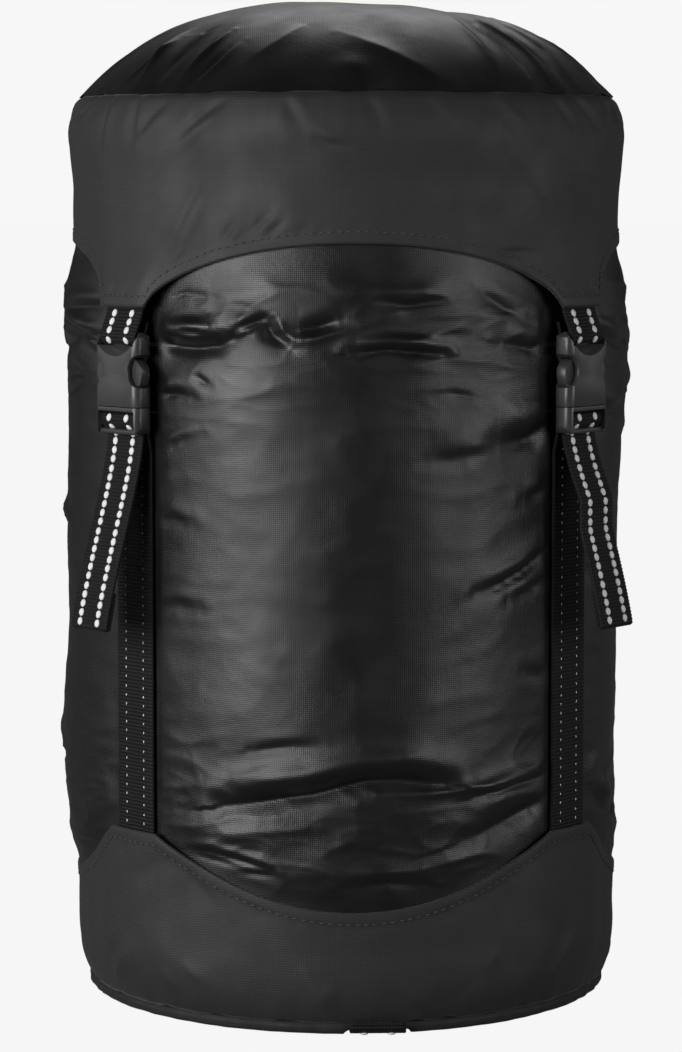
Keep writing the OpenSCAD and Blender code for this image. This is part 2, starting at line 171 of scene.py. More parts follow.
def cloth_grid(columns, rows, shape, closed=False):
    """A flat grid of cloth whose points (across, up), each from 0 to 1, are moved to where shape puts them.
    shape gives the place and the point of the flat cut, both in millimetres."""
    bm = bmesh.new()
    thread = bm.loops.layers.uv.new("thread")
    bmesh.ops.create_grid(bm, x_segments=columns, y_segments=rows, size=0.5)
    cut = {}
    for vert in bm.verts:
        place, cut[vert] = shape(vert.co.x + 0.5, vert.co.y + 0.5)
        vert.co = place * MM
    for face in bm.faces:
        for corner in face.loops:
            corner[thread].uv = cut[corner.vert]
    if closed:
        bmesh.ops.remove_doubles(bm, verts=bm.verts, dist=1e-6)
    bmesh.ops.recalc_face_normals(bm, faces=bm.faces)
    return bm


def piece(name, bm, *materials):
    """Makes the finished mesh an object, smooth shaded, with its place in its mesh."""
    mesh = bpy.data.meshes.new(name)
    bm.to_mesh(mesh)
    bm.free()
    for polygon in mesh.polygons:
        polygon.use_smooth = True
    for material in materials:
        mesh.materials.append(material)
    made = bpy.data.objects.new(name, mesh)
    scene.collection.objects.link(made)
    return made


def settle(made, body, slot, *nodes):
    """A piece that rides on one body and stands for CAD nodes, which it hides; slot is not used."""
    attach(made, body)
    if nodes:
        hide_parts(*nodes)


def bands(pitch):
    """Scale of a wave texture whose bands repeat every pitch."""
    return math.pi / (10 * pitch)


def woven_cloth(name, colour, worn, roughness, pitch, relief, crinkle, sheen):
    """Plain-woven nylon on its thread map in millimetres: crossing threads, shade bars and small creases."""
    material = blank_material(name)
    tree = material.node_tree
    thread = node(tree, "UVMap", uv_map="thread")
    threads = []
    for way in "XY":
        threads.append(node(tree, "TexWave", {"Vector": thread.outputs[0], "Scale": bands(pitch),
                                              "Distortion": 0.6, "Detail": 1.0}, bands_direction=way))
    weave = node(tree, "Math", {0: threads[0].outputs["Fac"], 1: threads[1].outputs["Fac"]},
                 operation="MULTIPLY")
    slubs = []
    for stretch in ((0.14, 1.5, 1.0), (1.5, 0.14, 1.0)):
        laid = node(tree, "Mapping", {"Vector": thread.outputs[0], "Scale": stretch})
        slubs.append(node(tree, "TexNoise", {"Vector": laid.outputs[0], "Scale": 1.0, "Detail": 2.0}))
    slub = node(tree, "Math", {0: slubs[0].outputs["Fac"], 1: slubs[1].outputs["Fac"]}, operation="MAXIMUM")
    cloud = node(tree, "TexNoise", {"Vector": thread.outputs[0], "Scale": 1 / 16, "Detail": 4.0})
    place = node(tree, "TexCoord")
    crease = node(tree, "TexNoise", {"Vector": place.outputs["Object"], "Scale": 1 / (crinkle * MM),
                                     "Detail": 5.0, "Roughness": 0.55})
    tone = node(tree, "Math", {0: slub.outputs[0], 1: weave.outputs[0]}, operation="MULTIPLY")
    shade = node(tree, "MapRange", {"Value": tone.outputs[0], "From Min": 0.05, "From Max": 0.6})
    base = node(tree, "Mix", {"Factor": shade.outputs[0], "A": linear(colour), "B": linear(worn)},
                data_type="RGBA")
    rough = node(tree, "MapRange", {"Value": cloud.outputs["Fac"], "From Min": 0.3, "From Max": 0.7,
                                    "To Min": roughness - 0.06, "To Max": roughness + 0.06})
    fold = node(tree, "Bump", {"Height": crease.outputs["Fac"], "Strength": 0.5, "Distance": 0.35 * MM})
    grain = node(tree, "Bump", {"Height": weave.outputs[0], "Normal": fold.outputs[0], "Strength": relief,
                                "Distance": 0.12 * MM})
    surface = node(tree, "BsdfPrincipled", {"Base Color": base.outputs["Result"],
                                            "Roughness": rough.outputs[0], "Normal": grain.outputs[0],
                                            "IOR": 1.53, "Sheen Weight": sheen, "Sheen Roughness": 0.4})
    node(tree, "OutputMaterial", {"Surface": surface.outputs[0]})
    return material


# Coated ripstop nylon: a thin calendered cloth, near black, whose fine thread grid breaks a soft satin gloss.
# Its threads are drawn at 0.7 mm, about twice their real pitch, so that they show in the render.
ripstop = woven_cloth("coated_ripstop_nylon", "#070708", "#111112", 0.42, 0.7, 0.4, 7.0, 0.04)

low, high = millimetres("base_panel")
PANEL_R = high.x
PANEL_Z = low.z + 0.8
PANEL_SAG = 1.6
PANEL_RIPPLE = 0.5


def on_disc(across, up):
    """A point of the unit disc for a point of the unit square, with no pole in the middle."""
    a = 2 * across - 1
    b = 2 * up - 1
    return a * math.sqrt(1 - b * b / 2), b * math.sqrt(1 - a * a / 2)


def base_panel_shape(across, up):
    x, y = on_disc(across, up)
    rho = math.hypot(x, y)
    ripple = PANEL_RIPPLE * noise.noise(Vector((x * 5, y * 5, 3)))
    sag = -PANEL_SAG * (1 - rho ** 2) + ripple * (1 - rho ** 4)
    return Vector((x * PANEL_R, y * PANEL_R, PANEL_Z + sag)), (x * PANEL_R, y * PANEL_R)


base_panel = piece("base_panel_cloth", cloth_grid(60, 60, base_panel_shape), ripstop)
settle(base_panel, "sack", "ripstop", "base_panel")


# Body: one tube of coated ripstop, sewn into the foot seam and drawn in over the load at its top, here a wall
# and a collar. The straps pinch it along four lines, so it swells between them and creases at lid and cap.
low, high = millimetres("body_panel")
BODY_R = high.x
BODY_LOW = low.z
SHOULDER_Z = high.z
FOOT_IN = 5.6
FOOT_H = 22
low, high = millimetres("mouth_collar")
SHOULDER_R = 22
BODY_TOP = high.z
low, high = millimetres("mouth_hem")
HEM_R = (high.z - low.z) / 2
MOUTH_R = high.x - HEM_R
HEM_Z = (high.z + low.z) / 2
STRAP_ANGLE = 50
STRAPS = {"front_left": -STRAP_ANGLE, "front_right": STRAP_ANGLE,
          "back_left": STRAP_ANGLE - 180, "back_right": 180 - STRAP_ANGLE}
WEB_W = 20
WEB_T = 1.3
TAB_W = 25
low, high = millimetres("base_cap")
CAP_R = high.x
CAP_TAB = high.z
CAP_LOW = 45
low, high = millimetres("lid_skirt")
LID_R = high.x
LID_Z = high.z
TAB_TIP = low.z
SKIRT_RISE = 23


def foot_draw(z):
    """How far the cloth draws in to the foot seam at a height."""
    return FOOT_IN * max(0, (BODY_LOW + FOOT_H - z) / FOOT_H) ** 2


def around(angle, radius, height):
    """A place at an angle from the front, towards the right, at a distance from the axis."""
    return Vector((radius * math.sin(angle), -radius * math.cos(angle), height))


def smooth_step(low, high, value):
    t = min(1, max(0, (value - low) / (high - low)))
    return t * t * (3 - 2 * t)


def between_tabs(angle, radius):
    """How far along the scallop between two tabs an angle lies, from 0 in its middle to 1 at a tab."""
    tab = math.asin(TAB_W / 2 / radius)
    front = math.sin(math.radians(STRAP_ANGLE) - tab)
    side = math.sin(math.radians(90 - STRAP_ANGLE) - tab)
    if abs(math.cos(angle)) < side:
        return abs(math.cos(angle)) / side, side * radius
    return min(1, abs(math.sin(angle)) / front), front * radius


def cap_edge(angle):
    share, half = between_tabs(angle, CAP_R)
    dip = CAP_TAB - CAP_LOW
    bow = (half * half + dip * dip) / (2 * dip)
    return CAP_LOW + bow - math.sqrt(bow * bow - (share * half) ** 2)


def skirt_edge(angle):
    share, half = between_tabs(angle, LID_R)
    return TAB_TIP + SKIRT_RISE * math.sqrt(max(0, 1 - share * share))


def strap_distance(angle):
    """Distance along the body from an angle to the middle of the nearest strap, and half the panel there."""
    turn = abs(math.degrees(angle))
    if turn < 90:
        near = abs(turn - STRAP_ANGLE)
        half = STRAP_ANGLE if turn < STRAP_ANGLE else 90 - STRAP_ANGLE
    else:
        near = abs(turn - 180 + STRAP_ANGLE)
        half = 90 - STRAP_ANGLE if turn < 180 - STRAP_ANGLE else STRAP_ANGLE
    return math.radians(near) * BODY_R, math.radians(half) * BODY_R


# Soft swellings of the load: angle and height of the middle, how far it stands out, its reach round and up.
SWELLS = ((0, 185, 1.6, 34, 60), (-26, 215, 1.4, 16, 34), (26, 120, 1.6, 18, 40), (-20, 118, 1.8, 22, 34),
          (4, 110, 1.6, 22, 22), (-90, 98, 3.2, 34, 42), (-90, 255, 1.4, 34, 26), (-92, 175, 1.2, 30, 34),
          (92, 232, 2.6, 34, 30), (88, 160, -1.0, 34, 50), (88, 90, -1.6, 34, 40), (180, 190, 2.0, 36, 60),
          (150, 110, 2.0, 22, 36), (-155, 120, 1.6, 22, 40))

# Creases: points as (angle, height), half width of the groove, its depth, and the swollen lip on its upper
# side. A ridge has a depth below 0. The front ones come first, then those on the sides.
CREASES = [
    (((-46, 245.5), (-38, 244.6), (-33, 244.2), (-28, 245), (-24.5, 247.6)), 3.0, 5.2, 3.4),
    (((-37, 250.2), (-30, 249.6)), 1.3, 1.6, 0.8),
    (((-41, 261), (-36, 263.5), (-29, 262)), 2.0, 1.6, 1.0),
    (((-23.4, 251.3), (-20.5, 253.4), (-17.6, 255)), 1.2, 1.4, 1.0),
    (((-18.2, 254.6), (-16.4, 249), (-12.4, 244.6)), 3.0, 3.0, 0.0),
    (((-15.4, 256), (-13.6, 249.4), (-11, 247.6)), 1.2, -1.4, 0.0),
    (((-11.2, 251), (-7.2, 252.2), (-3, 254.6)), 2.4, 2.6, 0.6),
    (((-12, 247.4), (-7.2, 248.6), (-2, 251)), 1.4, -1.2, 0.0),
    (((-1, 243), (6.6, 244.3), (17.5, 242.3)), 1.6, 2.6, 2.6),
    (((2, 262), (10, 259.5), (20, 262)), 2.2, 1.6, 1.0),
    (((24, 266), (31, 258), (37, 254)), 2.6, 1.8, 1.0),
    (((30, 246), (38, 243.5), (45, 246)), 2.4, 1.8, 1.2),
    (((-33, 234.6), (-29.5, 231.2)), 1.1, 0.9, 0.5),
    (((-45, 226), (-38, 228), (-34, 227)), 1.8, 1.4, 0.8),
    (((-41, 208.4), (-36, 211.4), (-31, 213)), 1.4, 1.1, 0.7),
    (((18, 229.2), (24, 227.2)), 1.3, 0.9, 0.5),
    (((29, 209.6), (36, 211), (45.5, 215.5)), 4.6, 3.4, 3.0),
    (((14, 204.7), (23, 205.2)), 3.6, 1.2, 0.6),
    (((-45, 181), (-39, 183), (-34, 182)), 1.8, 1.2, 0.7),
    (((36, 190), (45, 193.5)), 2.0, 1.5, 0.9),
    (((24, 157.8), (30, 160.6), (35.1, 164), (43.5, 171.6)), 2.0, 2.6, 1.8),
    (((32, 154.8), (38, 157.5), (45, 161.4)), 1.8, 2.0, 1.4),
    (((-45, 150), (-38, 152.5), (-32, 151.5)), 1.8, 1.1, 0.7),
    (((-21, 102.8), (-14, 104.8), (-7, 105.9)), 1.4, 0.9, 0.6),
    (((36, 128), (41, 126), (46, 128)), 2.0, 1.3, 0.8),
    (((-27, 82), (-18, 84.8), (-8.8, 87.4), (-2.9, 90.4), (2, 92.6), (8.4, 92.8), (17.5, 90.6)),
     3.6, 5.0, 4.2),
    (((4, 88), (14, 87.6), (24.4, 88.8), (36, 90.6)), 1.6, -1.8, 0.0),
    (((24, 85.4), (30, 86.6), (35.1, 88), (45, 89.6)), 2.0, 3.0, 1.6),
    (((22, 69.8), (33, 75), (45, 81.6)), 5.0, 3.2, 1.6),
    (((-34, 71.4), (-20, 73.6), (-7, 75.8)), 4.0, -1.4, 0.0),
    (((-36, 64.9), (-30, 65), (-26.4, 63.8), (-16.5, 60)), 1.2, 1.7, 1.0),
    (((-35, 63.2), (-29, 61.8), (-24, 60.4)), 1.3, 1.6, 0.6),
    (((-23.5, 58.4), (-16, 58.1)), 1.0, 1.0, 0.6),
    (((-2, 54), (6, 56), (14, 54.5)), 2.0, 1.6, 0.8),
    (((-80, 256), (-70, 257.6), (-58, 258.2)), 1.8, 2.2, 1.4),
    (((-78, 250), (-70, 248), (-59, 245.4)), 1.6, 2.0, 1.4),
    (((-74, 247), (-67, 242.6), (-59, 237.4)), 1.5, 1.8, 1.2),
    (((-76, 57.6), (-67, 59), (-58, 62.6)), 1.2, 1.6, 1.2),
    (((-72, 61.5), (-66, 62.5), (-60, 65)), 1.0, 1.2, 0.8),
    (((58, 250), (66, 246.5), (74, 242)), 1.6, 1.6, 1.2),
    (((60, 222), (68, 219), (76, 220)), 2.2, 1.4, 1.0),
]

# The same kind of crease on the sides and the back, laid by a seeded draw.
draw = random.Random(11)
for start in range(46):
    middle = draw.uniform(58, 302)
    height = draw.choice((draw.uniform(70, 245), draw.uniform(222, 262), draw.uniform(62, 92)))
    half = draw.uniform(3, 11)
    tilt = draw.uniform(-7, 7)
    CREASES.append((((middle - half, height - tilt), (middle, height + draw.uniform(-1.5, 1.5)),
                     (middle + half, height + tilt)), draw.uniform(1.2, 3.2), draw.uniform(0.8, 3.0),
                    draw.uniform(0.4, 2.0)))


def flat_line(points):
    """Points given as (angle, height) laid out flat in millimetres round the body."""
    return [(math.radians(a) * BODY_R, z) for a, z in points]


CREASE_END = 0.06
CREASE_TAPER = 0.7
CREASE_SHARP = 1.3
LIP_AWAY = 2.0
LIP_WIDE = 1.5


def groove(s, z, line, width, depth, lip):
    """How far one crease moves the cloth in or out at a point of the flat body."""
    best = None
    run = 0
    for (s0, z0), (s1, z1) in zip(line, line[1:]):
        ds = s1 - s0
        dz = z1 - z0
        length = math.hypot(ds, dz)
        t = min(1, max(0, ((s - s0) * ds + (z - z0) * dz) / length ** 2))
        off_s = s - s0 - t * ds
        off_z = z - z0 - t * dz
        away = math.hypot(off_s, off_z)
        if best is None or away < best[0]:
            best = (away, 1 if ds * off_z - dz * off_s > 0 else -1, run + t * length)
        run += length
    away, side, along = best
    taper = math.sin(math.pi * min(1 - CREASE_END, max(CREASE_END, along / run))) ** CREASE_TAPER
    valley = depth * math.exp(-(away / width) ** CREASE_SHARP)
    swell = lip * math.exp(-((away * side - LIP_AWAY * width) / (LIP_WIDE * width)) ** 2)
    return taper * (swell - valley)


# Columns and rows of the cloth lie closest at the front and where it creases: (angle or height, steps so
# far). A crease reaches a few times its half width.
COLUMNS = ((-180, 0), (-56, 84), (56, 334), (180, 418))
ROWS = ((BODY_LOW, 0), (48, 14), (105, 84), (215, 144), (268, 208), (SHOULDER_Z, 214))
COLLAR_ROWS = 36
CREASE_REACH = 4.5


def spread(table, step):
    """The value at a step of a table of (value, steps so far)."""
    for (a, first), (b, last) in zip(table, table[1:]):
        if step <= last:
            return a + (b - a) * (step - first) / (last - first)


columns = COLUMNS[-1][1]
wall_rows = ROWS[-1][1]
turns = [math.radians(spread(COLUMNS, i)) for i in range(columns + 1)]
heights = [spread(ROWS, j) for j in range(wall_rows + 1)]
folds = [[0] * (wall_rows + 1) for turn in turns]
for points, width, depth, lip in CREASES:
    line = flat_line(points)
    reach = CREASE_REACH * width
    levels = [z for s, z in line]
    crossed = [j for j, z in enumerate(heights) if min(levels) - reach < z < max(levels) + reach]
    for lap in (0, 2 * math.pi * BODY_R):
        for i, turn in enumerate(turns):
            s = turn * BODY_R + lap
            if line[0][0] - reach < s < line[-1][0] + reach:
                for j in crossed:
                    folds[i][j] += groove(s, heights[j], line, width, depth, lip)


# Small wrinkles: how far they stand out, their length round the body and up it, and the shift of their noise.
WRINKLES = ((0.9, 34, 12, 0), (0.35, 15, 6, 5))


def wrinkles(place, free):
    """Small sharp wrinkles that run round the body, as thin coated cloth sets when it is pressed down."""
    out = 0
    for tall, wide, high, shift in WRINKLES:
        at = Vector((place.x / wide, place.y / wide, place.z / high)) + Vector((shift, shift, shift))
        out += tall * (1 - abs(noise.noise(at))) ** 4
    return free * out


def soft_waves(place, waves):
    """How far the slow unevenness of a cloth stands out at a place, with waves as (height, length, shift)."""
    return sum(tall * noise.noise(place / wide + Vector(shift)) for tall, wide, shift in waves)


LOAD_OUT = 2.6
BODY_WAVES = ((1.0, 42, (0, 0, 0)), (0.4, 17, (9, 0, 0)))
PRESSED = 0.3
PRESS_REACH = 34
PINCH_POWER = 2.4
PUCKER = 0.55
PUCKER_REACH = 16
PUCKER_LONG = 26
PUCKER_TALL = 5.5
STRAP_CLEAR = 9


def body_swell(i, j):
    """How far the filled cloth stands out from the plain tube at a column and row."""
    angle = turns[i]
    z = heights[j]
    near, half = strap_distance(angle)
    open_share = min(1, max(0, (near - WEB_W / 2 - 1) / (half - WEB_W / 2 - 1)))
    pinch = 1 - (1 - open_share) ** PINCH_POWER
    turn = math.degrees(angle)
    load = LOAD_OUT
    for middle, height, out, wide, tall in SWELLS:
        gap = (turn - middle + 180) % 360 - 180
        load += out * math.exp(-(gap / wide) ** 2 - ((z - height) / tall) ** 2)
    place = around(angle, BODY_R, z)
    load += soft_waves(place, BODY_WAVES)
    pressed = PRESSED
    for edge in (skirt_edge(angle), cap_edge(angle)):
        pressed += math.exp(-((z - edge) / PRESS_REACH) ** 2)
    gather = math.exp(-((near - WEB_W / 2) / PUCKER_REACH) ** 2)
    flat = Vector((math.copysign(near, angle) / PUCKER_LONG, z / PUCKER_TALL, turn // 90))
    puckers = PUCKER * gather * noise.noise(flat)
    creased = folds[i][j] + puckers + wrinkles(place, min(1, pressed))
    return pinch * load + smooth_step(WEB_W / 2, WEB_W / 2 + STRAP_CLEAR, near) * creased


# Under cap and skirt the cloth is held to the plain tube: how far it may stand out there, and the heights
# over which it comes free.
HELD_OUT = 0.2
HELD_FOOT = 14
CAP_FADE = 15
SKIRT_FADE = 20
SHOULDER_LEN = SHOULDER_R * math.pi / 2
COLLAR_LEN = BODY_R - SHOULDER_R - MOUTH_R - HEM_R
PLEATS = 34
PLEAT_WANDER = 2.2
PLEAT_DIP = 1.4
PLEAT_DEEPER = 1.2
COLLAR_IN = 0.2


def body_shape(across, up):
    i = round(across * columns)
    j = round(up * wall_rows)
    angle = turns[i]
    z = heights[j]
    rise = smooth_step(cap_edge(angle) - 3, cap_edge(angle) + CAP_FADE, z)
    fall = 1 - smooth_step(skirt_edge(angle) - SKIRT_FADE, skirt_edge(angle) + 2, z)
    swell = body_swell(i, j)
    free = min(rise, fall)
    out = min(swell, HELD_OUT) * (1 - free) * smooth_step(BODY_LOW, BODY_LOW + HELD_FOOT, z) + swell * free
    return around(angle, BODY_R - foot_draw(z) + out, z), (angle * BODY_R, z)


def collar_shape(across, up):
    if up == 0:
        return body_shape(across, 1)
    angle = turns[round(across * columns)]
    run = (SHOULDER_LEN + COLLAR_LEN) * up
    cut = (angle * BODY_R, SHOULDER_Z + run)
    pleat = 0.5 + 0.5 * math.cos(PLEATS * angle + PLEAT_WANDER * noise.noise(around(angle, 3, 5)))
    if run < SHOULDER_LEN:
        turn = run / SHOULDER_R
        dip = PLEAT_DIP * pleat * smooth_step(0, SHOULDER_LEN, run)
        radius = BODY_R - SHOULDER_R + (SHOULDER_R - dip) * math.cos(turn)
        return around(angle, radius, SHOULDER_Z + (SHOULDER_R - dip) * math.sin(turn)), cut
    run -= SHOULDER_LEN
    dip = (PLEAT_DIP + PLEAT_DEEPER * run / COLLAR_LEN) * pleat
    return around(angle, BODY_R - SHOULDER_R - run, BODY_TOP - COLLAR_IN - dip), cut


body_cloth = piece("body_cloth", cloth_grid(columns, wall_rows, body_shape, closed=True), ripstop)
collar_cloth = piece("collar_cloth", cloth_grid(columns, COLLAR_ROWS, collar_shape, closed=True), ripstop)
for made, cad_node in ((body_cloth, "body_panel"), (collar_cloth, "mouth_collar")):
    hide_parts(cad_node)
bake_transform(body_cloth)
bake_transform(collar_cloth)


# Base cap: a band of matt woven nylon round the foot, cut in scallops that rise to a tab at each strap, with
# a narrow hem turned in along its top edge and one row of lock stitch.
# Matt oxford nylon: a heavier plain weave without a coating on its face, so it is greyer and hardly shines.
oxford = woven_cloth("matt_oxford_nylon", "#1b1b1c", "#2c2c2d", 0.66, 0.9, 0.5, 11.0, 0.1)
CAP_BOTTOM = 4.4
HEM_W = 4.2
CLOTH_T = 1.1
CLOTH_IN = 0.5
HEM_LIFT = 0.45
STITCH_DENT = 0.3
STITCH_REACH = 0.7
TAB_DRAW = 2.2
TAB_CLEAR = 3
TAB_REACH = 24


def hem_step(distance):
    """How far the doubled cloth of a hem stands out, at a distance from its edge, with its stitch's dent."""
    dent = STITCH_DENT * math.exp(-((distance - HEM_W) / STITCH_REACH) ** 2)
    return HEM_LIFT * (1 - smooth_step(HEM_W, HEM_W + 1.2, distance)) - dent


def tab_draw(angle):
    """How far a band that lies over the straps draws in to the body beside them."""
    near, half = strap_distance(angle)
    return TAB_DRAW * smooth_step(WEB_W / 2 + TAB_CLEAR, WEB_W / 2 + TAB_REACH, near)


def boxed(lines):
    """Folds together with the box of the flat cut that each one reaches."""
    made = []
    for line, width, depth, lip in lines:
        reach = CREASE_REACH * width
        across = [s for s, z in line]
        up = [z for s, z in line]
        made.append((min(across) - reach, max(across) + reach, min(up) - reach, max(up) + reach,
                     (line, width, depth, lip)))
    return made


def ring_noise(angle, pace, row):
    """Even noise round a closed ring: pace gives how fast it changes, and row picks one of many."""
    return noise.noise(around(angle, pace, row))


def pulled(folds, s, z):
    """How far a list of folds moves the cloth in or out at a point of its flat cut."""
    return sum(groove(s, z, *fold) for left, right, low, high, fold in folds
               if left < s < right and low < z < high)


def pulled_round(folds, angle, z):
    """The same at an angle of a band that is closed at the back."""
    return sum(pulled(folds, (angle + lap) * BODY_R, z) for lap in (-2 * math.pi, 0, 2 * math.pi))


def seam_folds(draw, count, seam, turns, runs, tilts, widths, depths, lips):
    """Folds that run up or down from a seam at a height, each value drawn from its (first, last)."""
    made = []
    for start in range(count):
        middle = draw.uniform(*turns)
        run = draw.uniform(*runs)
        tilt = draw.uniform(*tilts)
        line = ((middle - tilt, seam), (middle, seam + run / 2), (middle + tilt, seam + run))
        made.append((line, draw.uniform(*widths), draw.uniform(*depths), draw.uniform(*lips)))
    return made


HEM_PUCKERS = 60
PUCKER_START = 3.2


def hem_puckers(draw, edge, up):
    """Puckers that the stitch of a hem draws: edge gives its height, up is 1 above the hem and -1 below."""
    made = []
    for start in range(HEM_PUCKERS):
        middle = 360 / HEM_PUCKERS * start - 180 + draw.uniform(-2, 2)
        foot = edge(math.radians(middle)) + PUCKER_START * up
        line = ((middle - draw.uniform(0.3, 1.2), foot), (middle + 0.6, foot + draw.uniform(3, 7) * up))
        made.append((line, draw.uniform(0.7, 1.3), draw.uniform(0.25, 0.6), 0.2))
    return made


# Folds of the cap, as the body's creases: soft ridges that rise from the foot, and puckers below the hem.
cap_folds = [
    (((-60, 9), (-56, 17), (-51, 26)), 2.6, -1.1, -0.5),
    (((-42, 20), (-39, 12)), 2.0, -0.7, 0),
    (((-37, 24), (-32, 17)), 2.4, -0.7, 0),
    (((-50, 50), (-44, 57), (-39, 62)), 4.0, 0.7, 0.4),
    (((-37, 59), (-33, 51), (-29, 45)), 3.6, 0.6, 0.4),
    (((26, 20), (31, 30)), 3.0, -0.8, 0),
    (((44, 12), (49, 24), (52, 34)), 2.6, -0.9, -0.4),
    (((-8, 10), (-4, 20)), 3.0, -0.6, 0),
]
draw = random.Random(23)
cap_folds += seam_folds(draw, 30, 8, (-180, 180), (12, 26), (-7, 7), (1.6, 3.4), (-0.8, 0.6), (-0.2, 0.3))
cap_folds += hem_puckers(draw, cap_edge, -1)
cap_folds = boxed([(flat_line(points), *rest) for points, *rest in cap_folds])
CAP_WAVES = ((0.7, 30, (0, 0, 0)), (0.25, 11, (0, 0, 0)))
CAP_RAGGED = 1.3
CAP_GATHER = 0.5
HEM_FIRM = 9


def cap_shape(across, up):
    angle = 2 * math.pi * (across - 0.5)
    edge = cap_edge(angle)
    ragged = CAP_RAGGED * max(0, ring_noise(angle, 13, 9)) * (1 - up) ** 6
    z = CAP_BOTTOM + (edge - CAP_BOTTOM) * up + ragged
    place = around(angle, CAP_R, z)
    soft = soft_waves(place, CAP_WAVES)
    gather = CAP_GATHER * ring_noise(angle, 15, 2) * (1 - smooth_step(4, 22, z))
    soft += gather + pulled_round(cap_folds, angle, z)
    out = CAP_R - CLOTH_IN - foot_draw(z) - tab_draw(angle) * smooth_step(5, 30, z) + hem_step(edge - z)
    out += soft * smooth_step(0, HEM_FIRM, edge - z)
    return around(angle, out, z), (angle * CAP_R, z)


def walled(made, thickness):
    """Gives a sheet its thickness, inwards from its outer face."""
    wall = made.modifiers.new("cloth_thickness", "SOLIDIFY")
    wall.thickness = thickness * MM
    wall.offset = -1
    return made


base_cap = walled(piece("base_cap_cloth", cloth_grid(400, 46, cap_shape, closed=True), oxford), CLOTH_T)
settle(base_cap, "sack", "matt_nylon", "base_cap")

# Polyester sewing thread: black and tightly twisted. Its colour is painted charcoal, lighter than the black
# thread, as a painted dull sheen that lifts each stitch out of its own shade beside the cloth.
thread_black = blank_material("black_polyester_thread")
tree = thread_black.node_tree
place = node(tree, "TexCoord")
twist = node(tree, "TexNoise", {"Vector": place.outputs["Object"], "Scale": 1 / (0.5 * MM), "Detail": 2.0})
ply = node(tree, "Bump", {"Height": twist.outputs["Fac"], "Strength": 0.4, "Distance": 0.1 * MM})
rough = node(tree, "MapRange", {"Value": twist.outputs["Fac"], "To Min": 0.5, "To Max": 0.7})
# Painted sheen: the base colour is charcoal rather than the thread's black, so the stitches read lighter than
# the shade they sit in.
surface = node(tree, "BsdfPrincipled", {"Base Color": linear("#3c3c3d"), "Roughness": rough.outputs[0],
                                        "Normal": ply.outputs[0], "IOR": 1.55})
node(tree, "OutputMaterial", {"Surface": surface.outputs[0]})
STITCH_PITCH = 3.2
STITCH = Vector((2.5, 0.62, 0.42))
STITCH_OUT = 0.12
HEM_STEPS = 1300


def stitch_row(name, points, body):
    """One row of lock stitches along points given as (place, outward direction), in millimetres."""
    bm = bmesh.new()
    walked = 0
    for (a, _), (b, facing) in zip(points, points[1:]):
        walked += (b - a).length
        if walked < STITCH_PITCH:
            continue
        walked -= STITCH_PITCH
        along = (b - a).normalized()
        side = facing.cross(along).normalized()
        out = along.cross(side)
        turn = Matrix((along, side, out)).transposed().to_4x4()
        size = Matrix.Diagonal((STITCH * MM / 2).to_4d())
        size[3][3] = 1
        laid = Matrix.Translation(b * MM) @ turn @ size
        bmesh.ops.create_icosphere(bm, subdivisions=1, radius=1, matrix=laid)
    settle(piece(name, bm, thread_black), body, "seam_binding")


def hem_stitches(name, shape, share, body):
    """A row of stitches round a hem: share gives how far up its cloth the row lies at an angle."""
    points = []
    for i in range(HEM_STEPS + 1):
        angle = 2 * math.pi * i / HEM_STEPS - math.pi
        place = shape(angle / (2 * math.pi) + 0.5, share(angle))[0]
        points.append((place + around(angle, STITCH_OUT, 0), around(angle, 1, 0)))
    stitch_row(name, points, body)


hem_stitches("base_cap_stitches", cap_shape, lambda angle: 1 - HEM_W / (cap_edge(angle) - CAP_BOTTOM), "sack")


# Foot seam: the raw edges of body, cap and panel turned together and bound with a folded tape, the thick soft
# ring that the sack stands on. The base handle presses a notch into it at the front and the back.
low, high = millimetres("base_seam")
SEAM_R = high.x
SEAM_H = high.z
SEAM_W = 8.5
low, high = millimetres("base_handle")
HANDLE_X = (low.x + high.x) / 2
HANDLE_FRONT = -low.y
HANDLE_TOP = high.z
NOTCH = WEB_T + 0.9
SEAM_WAVE = 0.7
SEAM_WORN = 0.4
SEAM_SQUARE = 0.55
SEAM_FLAT = 0.7


def seam_shape(across, up):
    angle = 2 * math.pi * (across - 0.5)
    turn = 2 * math.pi * up
    wave = SEAM_WAVE * ring_noise(angle, 19, math.cos(turn)) - SEAM_WORN
    wide = math.copysign(abs(math.cos(turn)) ** SEAM_SQUARE, math.cos(turn))
    tall = math.copysign(abs(math.sin(turn)) ** SEAM_FLAT, math.sin(turn))
    radius = SEAM_R - SEAM_W / 2 + (SEAM_W / 2 - 0.1 + wave) * wide
    z = SEAM_H / 2 + (SEAM_H / 2 - 0.06) * tall
    place = around(angle, radius, z)
    notch = 1 - smooth_step(WEB_W / 2 + 0.2, WEB_W / 2 + 2.4, abs(place.x - HANDLE_X))
    place.z = max(place.z, NOTCH * notch)
    return place, (angle * SEAM_R, up * 2 * (SEAM_W + SEAM_H))


# Grosgrain binding tape: ribbed across its width, black and dull.
binding = woven_cloth("grosgrain_binding_tape", "#0a0a0b", "#161617", 0.72, 1.1, 0.6, 6.0, 0.1)
foot_seam = piece("foot_seam_binding", cloth_grid(420, 20, seam_shape, closed=True), binding)
settle(foot_seam, "sack", "seam_binding", "base_seam")


